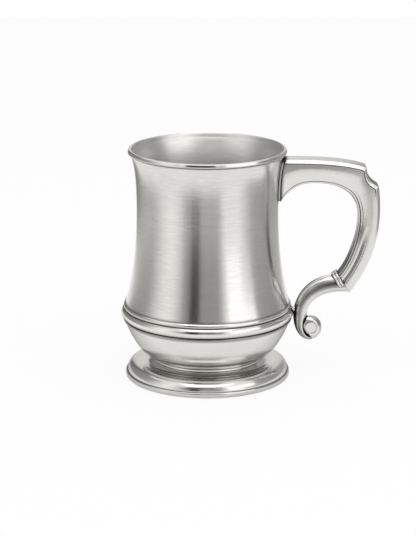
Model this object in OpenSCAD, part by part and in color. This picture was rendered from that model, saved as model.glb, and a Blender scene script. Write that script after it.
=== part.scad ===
// Bellied pewter tankard: a turned vessel on a pedestal foot, with a cast scroll handle.
// Millimetres. +Z is up, the origin is the middle of the standing plane, the handle points along +X.

/* [Vessel] */
// Height from the table to the top of the lip
lip_z = 130; // [127:0.5:134]
// Radius of the mouth, outside its bead
lip_r = 44; // [43.4:0.2:45]
// Thickness of the bead that caps the mouth
lip_bead = 2.8; // [2.4:0.1:3.2]
// Radius of the waist
waist_r = 39.3; // [38.5:0.1:40]
// Height of the waist
waist_z = 91; // [85:1:96]
// Thickness of the turned walls
wall = 1.6; // [1.4:0.1:2]

/* [Belly] */
// Radius at the crown of the widest reed
belly_r = 48.4; // [47.8:0.1:48.5]
// Height of the middle of the reeded band
band_z = 37; // [36:0.5:37.5]
// Radius of the rounding of the wide middle reed
reed_mid = 3.3; // [3.1:0.1:3.6]

/* [Foot] */
// Radius of the foot
foot_r = 46.2; // [44:0.2:49]
// Height of the foot's edge
foot_edge = 3; // [2.8:0.1:3.4]
// Height of the neck, where the bowl rests on the foot
neck_z = 10.4; // [9.8:0.1:11]
// Outer radius of the wire round the neck
neck_r = 32; // [31.6:0.1:32.6]

/* [Handle] */
// Greatest width of the handle
handle_w = 13.8; // [12:0.2:15]
// Share of that width that the flat back takes
back_share = 0.8; // [0.7:0.02:0.88]
// Radius of the hollow of the thumb notch
notch_r = 5.4; // [4.6:0.1:5.8]
// Thickness of the plate that joins the arm to the barrel
pad_t = 1.2; // [0.8:0.1:1.6]
// Outer radius of the double ring
collar_r = 6; // [5.6:0.1:6.3]
// Radius of the volute
volute_r = 7.1; // [6.6:0.1:7.3]
// Radius of the flat eye of the volute
eye_r = 3; // [2.5:0.1:3.4]

/* [Hidden] */
$fn = 96;
metal = [0.74, 0.74, 0.72];
bright = [0.82, 0.82, 0.80];

function bez(p, t) =
    pow(1 - t, 3) * p[0] + 3 * t * pow(1 - t, 2) * p[1] + 3 * t * t * (1 - t) * p[2] + pow(t, 3) * p[3];
function curve(p, n, from = 0) = [for (i = [from:n]) bez(p, i / n)];
function arc(c, r, a0, a1, n) = [for (i = [0:n]) let (a = a0 + (a1 - a0) * i / n) c + r * [cos(a), sin(a)]];
function back_to_front(list) = [for (i = [len(list) - 1:-1:0]) list[i]];
function moved(list, by) = [for (p = list) p + by];

// Turned walls. The barrel and the bowl lap under the band, on a cylindrical seat.
band_low = band_z - 4.5;
band_high = band_z + 4.8;
seat_r = belly_r - 3;
lap_r = seat_r - wall / 2;
lap_low = band_z + 0.4;
lap_high = lap_low + 2;
barrel_foot_r = belly_r - 2.4;
bowl_top_r = belly_r - 2;
rim = [lip_r - 1, lip_z - 2.4];
tongue_h = 1.1;
tongue_in = 0.35;
barrel_low = [
    [barrel_foot_r, band_high], [barrel_foot_r - 4.3, band_high + 14.4],
    [waist_r, waist_z - 13], [waist_r, waist_z]
];
barrel_up = [[waist_r, waist_z], [waist_r, waist_z + 16.5], rim - [3.5, 7], rim];
barrel_side = concat(curve(barrel_low, 18), curve(barrel_up, 18, 1));

// The bowl stands on the foot by a round boss, with a rebate for the neck wire in its corner.
boss_r = 24;
boss_h = 1.8;
wire_d = 2;
wire_seat_r = neck_r - 1.6;
wire_seat_h = 1.5;
bowl_start = [neck_r - 0.5, neck_z + wire_seat_h];
bowl_side = curve([
    bowl_start, bowl_start + [6.2, 1], [bowl_top_r - 2, band_low - 6.3], [bowl_top_r, band_low]
], 16);
floor_t = 2;
bowl_in_r = seat_r - wall;
bowl_hollow = curve([
    [neck_r - 3.5, neck_z + floor_t], [neck_r + 5.2, neck_z + floor_t + 1.2],
    [bowl_in_r - 0.8, band_low - 5.7], [bowl_in_r, band_low]
], 16);

// Foot: a spun shell that falls in a shallow cove from the neck and swells into a full round moulding.
// The moulding's edge lies in a rebate of the edge ring.
foot_top_r = neck_r - 1.8;
cove_r = neck_r + 3;
cove_z = foot_edge + 4.9;
flange_r = foot_r - 1;
flange_z = foot_edge - 0.2;
shell_t = 1.6;
ledge_r = foot_r - 4;
ledge_z = flange_z - shell_t;
edge_round = 0.8;
cove = curve([
    [neck_r - 2.2, neck_z - 1.2], [neck_r - 1.7, cove_z + 0.1], [cove_r - 2.8, cove_z - 0.6], [cove_r, cove_z]
], 12);
dome = curve([
    [cove_r, cove_z], [cove_r + 3.2, cove_z + 0.8], [flange_r - 0.4, flange_z + 6.5], [flange_r, flange_z]
], 16, 1);
hollow_r = cove_r - 0.4;
hollow_z = cove_z - shell_t - 0.2;
dome_in = curve([
    [ledge_r, ledge_z], [ledge_r + 0.6, hollow_z + 1.5], [cove_r + 3, hollow_z + 1.5], [hollow_r, hollow_z]
], 12);
cove_in = curve([
    [hollow_r, hollow_z], [hollow_r - 4.6, hollow_z], [neck_r - 4, cove_z - 0.4],
    [neck_r - 4, neck_z - boss_h]
], 10, 1);

// Handle: two contours in the plane y = 0, the back and the hollow side, and sections between them.
// The upper points hang from the lip, and the lower ones stand on the band.
function below_lip(x, down) = [x, lip_z - down];
function above_band(x, up) = [x, band_z + up];
heel = above_band(79.6, 11.2);
throat = above_band(72.9, 22.3);
notch_in = below_lip(88.4, 14.2);
arm_back = [below_lip(40.2, 5.5), below_lip(56.5, 5.7), below_lip(74, 5.5), below_lip(87.6, 10)];
grip_back = [below_lip(94.8, 20.8), below_lip(97, 40), above_band(95.6, 33), heel];
hollow_a = [below_lip(39, 32), below_lip(45, 23), below_lip(49.5, 19.4), below_lip(58.5, 19.2)];
hollow_b = [below_lip(58.5, 19.2), below_lip(74.2, 19), below_lip(83.4, 25.2), below_lip(83.4, 39)];
hollow_c = [below_lip(83.4, 39), below_lip(83.4, 49.7), above_band(78.5, 28.5), throat];
function hollow(s) = s < 1 ? bez(hollow_a, s) : s < 2 ? bez(hollow_b, s - 1) : bez(hollow_c, s - 2);
arm_steps = 14;
notch_steps = 8;
grip_steps = 22;
notch_arc = arc(notch_in + [notch_r, 0], notch_r, 180, 270, notch_steps);
// Each station is [back point, hollow point, width factor, depth of the crease under the chamfer].
arm_stations = [for (i = [0:arm_steps]) let (t = i / arm_steps)
    [bez(arm_back, t), hollow(lookup(t, [[0, 0], [0.37, 1], [1, 1.5]])), 1, 1]];
notch_stations = [for (i = [0:notch_steps])
    [notch_arc[i], hollow(1.53 + 0.15 * i / notch_steps), 1, 1]];
grip_stations = [for (i = [0:grip_steps]) let (t = i / grip_steps)
    [bez(grip_back, t), hollow(lookup(t, [[0, 1.71], [0.3, 2], [1, 3]])), 1 - 0.2 * t * t, max(0, 1 - 6 * t)]
];

// Section of the casting, from its flat back to the bead on its hollow side: [share of depth, of width].
function section(crease) = [
    [0, back_share], [0.1, 1], [0.14, 1 - 0.08 * crease], [0.28, 1 - 0.02 * crease], [0.45, 1], [0.6, 0.95],
    [0.74, 0.84], [0.85, 0.69], [0.9, 0.58], [0.92, 0.5], [0.94, 0.53], [0.98, 0.5], [1, 0.4]
];
stem_section = [
    [0, 0.7], [0.08, 0.9], [0.2, 1], [0.45, 1], [0.65, 0.88], [0.82, 0.66], [0.93, 0.42], [1, 0.2]
];
function place(p, y) = [p.x, y, p.y];
function ring(back, front, half_w, shape) = let (
        near = [for (q = shape) place(back + (front - back) * q[0], -half_w * q[1])],
        far = [for (q = shape) place(back + (front - back) * q[0], half_w * q[1])]
    ) concat(near, back_to_front(far));

// Lower scroll: the contours run on from the heel, then curl round the volute.
axis_a = atan2(heel.x - throat.x, throat.y - heel.y);
axis_dir = [cos(axis_a), sin(axis_a)];
collar_t = 3.4;
solder = 0.2;
neck_at = throat + 4.4 * [sin(axis_a), -cos(axis_a)] - solder * axis_dir;
neck_rod = 3.4;
spigot_r = 2.4;
spigot_l = 6;
volute = above_band(57.4, -10.3);
eye_at = volute + [0.7, 0.7];
stem_back = [heel, above_band(65, 12.4), above_band(56.3, 6.4), above_band(56, -2)];
stem_front = [
    throat - (collar_t - 0.3) * axis_dir, above_band(57.2, 19.6), above_band(48.4, 9), above_band(49, -4)
];
curl_back = [above_band(56, -2), above_band(53.5, -7), above_band(53.6, -14), above_band(58.2, -15.3)];
curl_front = [above_band(49, -4), above_band(49.2, -11.5), volute - [5.3, volute_r], volute - [0, volute_r]];
stem_steps = 20;
curl_steps = 12;
stem_w = handle_w * 0.78;
stem_stations = [for (i = [0:stem_steps]) let (t = i / stem_steps)
    [bez(stem_back, 0.11 + 0.89 * t), bez(stem_front, t), 1 - 0.3 * t]];
curl_stations = [for (i = [1:curl_steps]) let (t = i / curl_steps)
    [bez(curl_back, t), bez(curl_front, t), 0.7 - 0.06 * t]];

// Peg between the band and the scroll.
peg_z = band_z + 0.6;
peg_r = 1.1;
peg_bead = 1.5;
peg_in = seat_r + 1.2;
peg_out = 52;

module turned(outline) {
    rotate_extrude() polygon(outline);
}

module hoop(radius, z, thick) {
    rotate_extrude() translate([radius, z]) circle(d = thick);
}

// A closed skin through rings of points that all have the same count.
module skin(rings) {
    n = len(rings[0]);
    last = len(rings) - 1;
    sides = [for (i = [0:last - 1], j = [0:n - 1]) let (a = i * n + j, b = i * n + (j + 1) % n)
        each [[a, a + n, b + n], [a, b + n, b]]];
    caps = [[for (j = [0:n - 1]) j], [for (j = [n - 1:-1:0]) last * n + j]];
    polyhedron([for (r = rings) each r], concat(sides, caps), convexity = 8);
}

// Things that lie along the neck of the scroll, whose axis leans in the plane of the handle.
module on_neck() {
    translate([neck_at.x, 0, neck_at.y]) rotate([0, 90 - axis_a, 0]) children();
}

module barrel_solid() {
    turned(concat(
        [[lap_r, lap_low], [seat_r, lap_low], [seat_r, band_high]],
        barrel_side,
        [rim - [tongue_in, 0], rim + [-tongue_in, tongue_h]],
        [rim + [tongue_in - wall, tongue_h], rim + [tongue_in - wall, 0]],
        back_to_front(moved(barrel_side, [-wall, 0])),
        [[seat_r - wall, lap_high], [lap_r, lap_high]]
    ));
}

module bowl_solid() {
    turned(concat(
        [[0, neck_z - boss_h], [boss_r, neck_z - boss_h], [boss_r, neck_z]],
        [[wire_seat_r, neck_z], [wire_seat_r, neck_z + wire_seat_h]],
        bowl_side,
        [[seat_r, band_low], [seat_r, lap_low], [lap_r, lap_low], [lap_r, lap_high], [bowl_in_r, lap_high]],
        back_to_front(bowl_hollow),
        [[0, neck_z + floor_t]]
    ));
}

module foot_solid() {
    turned(concat(
        [[boss_r, neck_z - boss_h], [boss_r, neck_z], [foot_top_r, neck_z]],
        cove, dome,
        [[flange_r, ledge_z]],
        dome_in, cove_in
    ));
}

// Everything inside the barrel's outer face, grown by some thickness.
module barrel_core(grow) {
    turned(concat([[0, band_high]], moved(barrel_side, [grow, 0]), [[0, rim.y]]));
}

module peg_solid() {
    translate([peg_in, 0, peg_z]) rotate([0, 90, 0]) cylinder(r = peg_r, h = peg_out - peg_in);
    translate([belly_r + 0.4, 0, peg_z]) sphere(r = peg_bead);
}

module lip_wire() {
    color(bright) difference() {
        hoop(lip_r - lip_bead / 2, lip_z - lip_bead / 2, lip_bead);
        barrel_solid();
    }
}

module barrel() {
    color(metal) barrel_solid();
}

module belly_band() {
    color(bright) difference() {
        union() {
            translate([0, 0, band_low]) cylinder(r = seat_r + 1, h = band_high - band_low);
            hoop(belly_r - reed_mid, band_z - 0.1, 2 * reed_mid);
            hoop(belly_r - 2.8, band_z + 3.8, 3);
            hoop(belly_r - 2.05, band_z - 3.7, 1.9);
        }
        cylinder(r = seat_r, h = lip_z);
        barrel_solid();
        bowl_solid();
        peg_solid();
    }
}

module belly_bowl() {
    color(metal) bowl_solid();
}

module foot_wire() {
    color(bright) difference() {
        hoop(neck_r - wire_d / 2, neck_z + 0.9, wire_d);
        bowl_solid();
        foot_solid();
    }
}

module foot() {
    color(metal) foot_solid();
}

module foot_rim() {
    color(bright) turned(concat(
        [[ledge_r, 0]],
        arc([foot_r - edge_round, edge_round], edge_round, -90, 0, 6),
        arc([foot_r - edge_round, foot_edge - edge_round], edge_round, 0, 90, 6),
        [[flange_r, flange_z], [flange_r, ledge_z], [ledge_r, ledge_z]]
    ));
}

module handle_pad() {
    pad_mid = lip_z - 17.1;
    pad_h = 12.3;
    pad_half = handle_w / 2 + 0.7;
    // A long shield with rounded corners, seen along X
    shield = [for (a = [0:10:350]) [
        pad_half * sign(cos(a)) * pow(abs(cos(a)), 0.45),
        pad_mid + pad_h * sign(sin(a)) * pow(abs(sin(a)), 0.45)
    ]];
    color(metal) difference() {
        intersection() {
            barrel_core(pad_t);
            rotate([90, 0, 90]) linear_extrude(lip_r + 10) polygon(shield);
        }
        barrel_core(0);
    }
}

// The skin runs on past the heel and is sawn off flat there, and the end is bored for the spigot.
module handle_grip() {
    sawn = 0.6 * axis_dir;
    tip = [heel - sawn, throat - sawn, 0.8, 0];
    stations = concat(arm_stations, notch_stations, grip_stations, [tip]);
    saw_w = 2 * handle_w;
    color(bright) difference() {
        skin([for (s = stations) ring(s[0], s[1], s[2] * handle_w / 2, section(s[3]))]);
        barrel_core(pad_t);
        on_neck() translate([-saw_w / 2, -saw_w / 2, solder - 4]) cube([saw_w, saw_w, 4]);
        on_neck() cylinder(r = spigot_r, h = spigot_l + 0.4);
    }
}

module handle_collar() {
    bead = collar_t / 2 + 0.1;
    color(bright) on_neck() difference() {
        union() {
            translate([0, 0, -collar_t]) cylinder(r = collar_r - 0.8, h = collar_t);
            for (z = [bead / 2, collar_t - bead / 2]) hoop(collar_r - bead / 2, -z, bead);
        }
        translate([0, 0, -collar_t - 1]) cylinder(r = neck_rod, h = collar_t + 2);
    }
}

module handle_scroll() {
    first = [heel, throat, 1];
    stations = concat([first], stem_stations, curl_stations);
    face = 2.9;
    flat_r = eye_r + 1.2;
    eye_proud = 0.5;
    color(bright) difference() {
        union() {
            difference() {
                skin([for (s = stations) ring(s[0], s[1], s[2] * stem_w / 2, stem_section)]);
                on_neck() translate([0, 0, -collar_t]) difference() {
                    cylinder(r = collar_r + 0.1, h = collar_t + 5);
                    translate([0, 0, -1]) cylinder(r = neck_rod, h = collar_t + 7);
                }
            }
            on_neck() translate([0, 0, -1]) cylinder(r = spigot_r, h = spigot_l + 1);
            translate([volute.x, 0, volute.y]) rotate([90, 0, 0]) turned([
                [0, -face], [flat_r, -face], [volute_r - 1.8, 0.3 - face], [volute_r, 1.2 - face],
                [volute_r, face - 1.2], [volute_r - 1.8, face - 0.3], [flat_r, face], [0, face]
            ]);
            translate([eye_at.x, 0, eye_at.y]) rotate([90, 0, 0])
                cylinder(r = eye_r, h = 2 * (face + eye_proud), center = true);
        }
        peg_solid();
    }
}

module handle_peg() {
    color(metal) peg_solid();
}

lip_wire();
barrel();
belly_band();
belly_bowl();
foot_wire();
foot();
foot_rim();
handle_pad();
handle_grip();
handle_collar();
handle_scroll();
handle_peg();
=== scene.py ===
"""Looks of a bellied pewter tankard: a turned vessel on a pedestal foot, with a cast scroll handle.

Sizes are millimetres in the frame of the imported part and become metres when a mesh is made. +Z is up,
the origin is the middle of the standing plane, and the handle points along +X.
"""

from __future__ import annotations

import logging
import math
from dataclasses import dataclass
from enum import Enum
from typing import Any, ClassVar, Sequence

import bpy
import numpy as np
from mathutils import Euler, Matrix, Vector

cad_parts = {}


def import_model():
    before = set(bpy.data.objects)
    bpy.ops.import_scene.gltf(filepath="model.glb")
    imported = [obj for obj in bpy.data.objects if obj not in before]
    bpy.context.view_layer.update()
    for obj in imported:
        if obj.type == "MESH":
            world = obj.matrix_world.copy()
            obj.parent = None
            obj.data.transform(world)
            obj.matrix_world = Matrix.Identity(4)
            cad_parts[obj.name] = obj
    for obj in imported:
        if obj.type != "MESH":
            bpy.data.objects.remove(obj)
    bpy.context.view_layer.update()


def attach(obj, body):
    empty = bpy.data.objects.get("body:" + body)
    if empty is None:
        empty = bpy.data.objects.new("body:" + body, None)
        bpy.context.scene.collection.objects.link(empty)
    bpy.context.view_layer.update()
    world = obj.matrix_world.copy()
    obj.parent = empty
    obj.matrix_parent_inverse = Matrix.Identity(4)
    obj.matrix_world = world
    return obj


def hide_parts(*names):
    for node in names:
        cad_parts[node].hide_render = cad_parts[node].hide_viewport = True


log = logging.getLogger("tankard")

MM = 0.001
BODY = "root"
# Stored darkening: patina in the hollows, and painted shade in creases, grooves and where parts meet.
SHADE_AND_PATINA = "patina"
PICTURE_ROWS = 536  # Height of the photograph, in the pixels that the focal length is given in.
WHITE = "#FFFFFF"

Pair = tuple[float, float]
Triple = tuple[float, float, float]


class Slot(Enum):
    """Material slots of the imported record."""

    SPUN = "spun_pewter"
    TRIM = "trim_pewter"
    CAST = "cast_pewter"


class Side(Enum):
    """The two flanks of a casting, by the sign of their y."""

    NEAR = -1.0
    FAR = 1.0


# Small tools


def linear(code: str) -> tuple[float, float, float, float]:
    """Turn an sRGB hex colour into linear light.

    Args:
        code: The colour, such as "#D8D6D0".

    Returns:
        Linear red, green and blue, and full opacity.
    """
    shares = [int(code[i : i + 2], 16) / 255 for i in (1, 3, 5)]
    light = [c / 12.92 if c <= 0.04045 else ((c + 0.055) / 1.055) ** 2.4 for c in shares]
    return light[0], light[1], light[2], 1.0


def add(
    tree: bpy.types.NodeTree,
    kind: str,
    inputs: dict[Any, Any] | None = None,
    **settings: Any,
) -> bpy.types.Node:
    """Add a node to a tree, with its settings, values and links.

    Args:
        tree: The tree to add to.
        kind: The node's type name.
        inputs: Values, sockets or nodes, by the input's name or number. A node stands for its first output.
        **settings: Properties of the node.

    Returns:
        The new node.
    """
    node = tree.nodes.new(kind)
    for key, value in settings.items():
        setattr(node, key, value)
    for key, value in (inputs or {}).items():
        source = value.outputs[0] if isinstance(value, bpy.types.Node) else value
        if isinstance(source, bpy.types.NodeSocket):
            tree.links.new(source, node.inputs[key])
        else:
            node.inputs[key].default_value = source
    return node


def blank_material(name: str) -> tuple[bpy.types.Material, bpy.types.NodeTree]:
    """Start a material with an empty node tree.

    Args:
        name: The material's name.

    Returns:
        The material and its tree.
    """
    made = bpy.data.materials.new(name)
    made.use_nodes = True
    made.node_tree.nodes.clear()
    return made, made.node_tree


def values_of(items: Any, name: str, width: int = 1) -> np.ndarray:
    """Read one property of a mesh's vertices, faces or stored values.

    Args:
        items: The vertices, faces or stored values.
        name: The property.
        width: Numbers in each value.

    Returns:
        One number for each item, or one row where the width is more than 1.
    """
    found = np.zeros(len(items) * width)
    items.foreach_get(name, found)
    return found.reshape(-1, width) if width > 1 else found


def bell(x: np.ndarray, middle: float | np.ndarray, reach: float) -> np.ndarray:
    """Soft bump with a height of 1 in its middle."""
    return np.exp(-(((x - middle) / reach) ** 2))


def facing(place: Vector, target: Vector) -> Euler:
    """Turn that makes a lamp or camera at one place look at another."""
    return (target - place).to_track_quat("-Z", "Y").to_euler()


def bezier(control: Sequence[Pair], t: np.ndarray) -> np.ndarray:
    """Points on a cubic curve.

    Args:
        control: The four control points.
        t: Where on the curve, from 0 to 1.

    Returns:
        One row for each value of t.
    """
    p = np.asarray(control, float)
    t = np.asarray(t, float)[..., None]
    return (1 - t) ** 3 * p[0] + 3 * t * (1 - t) ** 2 * p[1] + 3 * t**2 * (1 - t) * p[2] + t**3 * p[3]


def run(control: Sequence[Pair], steps: int) -> np.ndarray:
    """A whole cubic curve as steps + 1 points."""
    return bezier(control, np.linspace(0, 1, steps + 1))


def arc(centre: Pair, radius: float, start: float, end: float, steps: int) -> np.ndarray:
    """Part of a circle.

    Args:
        centre: Its middle.
        radius: Its radius.
        start: First angle in degrees.
        end: Last angle in degrees.
        steps: Number of chords.

    Returns:
        steps + 1 points.
    """
    a = np.radians(np.linspace(start, end, steps + 1))
    return np.asarray(centre, float) + radius * np.stack([np.cos(a), np.sin(a)], -1)


def monotone(x: np.ndarray, knots: Sequence[float], values: Sequence[float]) -> np.ndarray:
    """Smooth curve through knots that never overshoots between them.

    Args:
        x: Where to read the curve.
        knots: Rising places of the knots.
        values: Values at the knots.

    Returns:
        The curve at x.
    """
    xk, yk = np.asarray(knots, float), np.asarray(values, float)
    h, d = np.diff(xk), np.diff(yk) / np.diff(xk)
    slope = np.zeros_like(yk)
    slope[0], slope[-1] = d[0], d[-1]
    for i in range(1, len(xk) - 1):
        if d[i - 1] * d[i] > 0:
            a, b = 2 * h[i] + h[i - 1], h[i] + 2 * h[i - 1]
            slope[i] = (a + b) / (a / d[i - 1] + b / d[i])
    x = np.clip(np.asarray(x, float), xk[0], xk[-1])
    i = np.clip(np.searchsorted(xk, x, side="right") - 1, 0, len(h) - 1)
    t = (x - xk[i]) / h[i]
    return (
        yk[i] * (1 + 2 * t) * (1 - t) ** 2
        + slope[i] * h[i] * t * (1 - t) ** 2
        + yk[i + 1] * t**2 * (3 - 2 * t)
        + slope[i + 1] * h[i] * t**2 * (t - 1)
    )


def refined(points: np.ndarray, spacing: float) -> np.ndarray:
    """Add points so that no two neighbours are further apart than the spacing.

    Args:
        points: A run of points.
        spacing: The largest gap.

    Returns:
        The run with the added points.
    """
    parts = []
    for a, b in zip(points[:-1], points[1:]):
        count = max(1, math.ceil(float(np.linalg.norm(b - a)) / spacing))
        parts.append(a + (b - a) * (np.arange(count) / count)[:, None])
    return np.concatenate(parts + [points[-1:]])


def relaxed(points: np.ndarray, height: float, reach: float, rounds: int = 150) -> np.ndarray:
    """Even out the bend of a run of points about one height, where two curves of unlike bend meet.

    Args:
        points: A run of points (radius, height).
        height: The height.
        reach: How far above and below it the run changes.
        rounds: Number of passes.

    Returns:
        The changed run, with its ends where they were.
    """
    radii, heights = points.T.copy()
    share = 0.5 * bell(heights, height, reach)[1:-1]
    for _ in range(rounds):
        radii[1:-1] += share * ((radii[:-2] + radii[2:]) / 2 - radii[1:-1])
    return np.stack([radii, heights], -1)


def softened(points: np.ndarray, corners: dict[int, float], steps: int = 4) -> np.ndarray:
    """Round some corners of a run of points.

    Args:
        points: The run.
        corners: How far from a corner its rounding starts, by the corner's number.
        steps: Chords in each rounding.

    Returns:
        The run with the corners replaced by short curves.
    """
    t = np.linspace(0, 1, steps + 1)[:, None]
    parts = []
    for i, corner in enumerate(points):
        if i not in corners:
            parts.append(corner[None])
            continue
        before, after = points[i - 1] - corner, points[i + 1] - corner
        a = corner + before * min(0.45, corners[i] / np.linalg.norm(before))
        b = corner + after * min(0.45, corners[i] / np.linalg.norm(after))
        parts.append((1 - t) ** 2 * a + 2 * t * (1 - t) * corner + t**2 * b)
    return np.concatenate(parts)


def eased(rows: np.ndarray, corners: Sequence[int], reach: int = 4, passes: int = 4) -> np.ndarray:
    """Ease a run of rows round some corners, and leave the rest as it is.

    Args:
        rows: The run.
        corners: Row numbers of the corners.
        reach: Rows on either side that take part.
        passes: How often the neighbours are averaged.

    Returns:
        The eased run.
    """
    out = rows.copy()
    for _ in range(passes):
        for c in corners:
            near = out[c - reach - 1 : c + reach + 2]
            out[c - reach : c + reach + 1] = (near[:-2] + 2 * near[1:-1] + near[2:]) / 4
    return out


def meeting(centre_a: Pair, radius_a: float, centre_b: Pair, radius_b: float) -> Pair:
    """The outer of the two points where two circles of a half section cross.

    Args:
        centre_a: Middle of the first circle.
        radius_a: Its radius.
        centre_b: Middle of the second circle.
        radius_b: Its radius.

    Returns:
        The crossing with the larger radius from the axis.
    """
    a, b = np.asarray(centre_a, float), np.asarray(centre_b, float)
    gap = float(np.linalg.norm(b - a))
    along = (radius_a**2 - radius_b**2 + gap**2) / (2 * gap)
    across = math.sqrt(radius_a**2 - along**2)
    d = (b - a) / gap
    found = max((a + along * d + k * across * np.array([-d[1], d[0]]) for k in (-1, 1)), key=lambda p: p[0])
    return float(found[0]), float(found[1])


def angle_of(point: Pair, centre: Pair) -> float:
    """Angle in degrees of a point, seen from a centre."""
    return math.degrees(math.atan2(point[1] - centre[1], point[0] - centre[0]))


@dataclass(frozen=True)
class Groove:
    """A dark line along a half section: painted shade in a groove, a corner or under an overhang, with the
    oxide that stays where the polishing mop doesn't reach.

    Attributes:
        at: Its place in a half section.
        reach: How far the dark spreads.
        depth: How dark it is, from 0 to 1.
    """

    at: Pair
    reach: float
    depth: float = 1.0


def shade_and_patina_near(points: np.ndarray, grooves: Sequence[Groove]) -> np.ndarray:
    """Painted shade and patina of points of a half section.

    Args:
        points: The points.
        grooves: The dark lines near them.

    Returns:
        One value from 0 to 1 for each point.
    """
    shade = np.zeros(len(points))
    for groove in grooves:
        away = np.linalg.norm(points - np.asarray(groove.at), axis=1)
        shade = np.maximum(shade, groove.depth * bell(away, 0, groove.reach))
    return shade


# Finishes


def tarnished(
    tree: bpy.types.NodeTree,
    film: bpy.types.Node,
    colours: tuple[str, str],
    gloss: bpy.types.Node,
    dulling: float,
) -> tuple[bpy.types.NodeSocket, bpy.types.Node]:
    """Let the patina and painted shade that the mesh stores darken and dull a metal.

    Args:
        tree: The material's tree.
        film: Node that gives the thin film over the whole metal, from 0 to 1.
        colours: Colour of the clean metal and of full oxide, which the painted shade uses too.
        gloss: Node that gives the roughness of the clean metal.
        dulling: How much rougher full oxide is.

    Returns:
        The colour's socket, and the node that gives the roughness.
    """
    shade = add(tree, "ShaderNodeAttribute", attribute_name=SHADE_AND_PATINA).outputs["Fac"]
    # Painted shade and patina add to the film and darken the metal towards the oxide's colour.
    worn = add(tree, "ShaderNodeMath", {0: shade, 1: film}, operation="ADD", use_clamp=True)
    clean, oxide = (linear(code) for code in colours)
    colour = add(tree, "ShaderNodeMix", {0: worn, 6: clean, 7: oxide}, data_type="RGBA")
    inputs = {0: shade, 1: dulling, 2: gloss}
    dulled = add(tree, "ShaderNodeMath", inputs, operation="MULTIPLY_ADD", use_clamp=True)
    return colour.outputs[2], dulled


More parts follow.
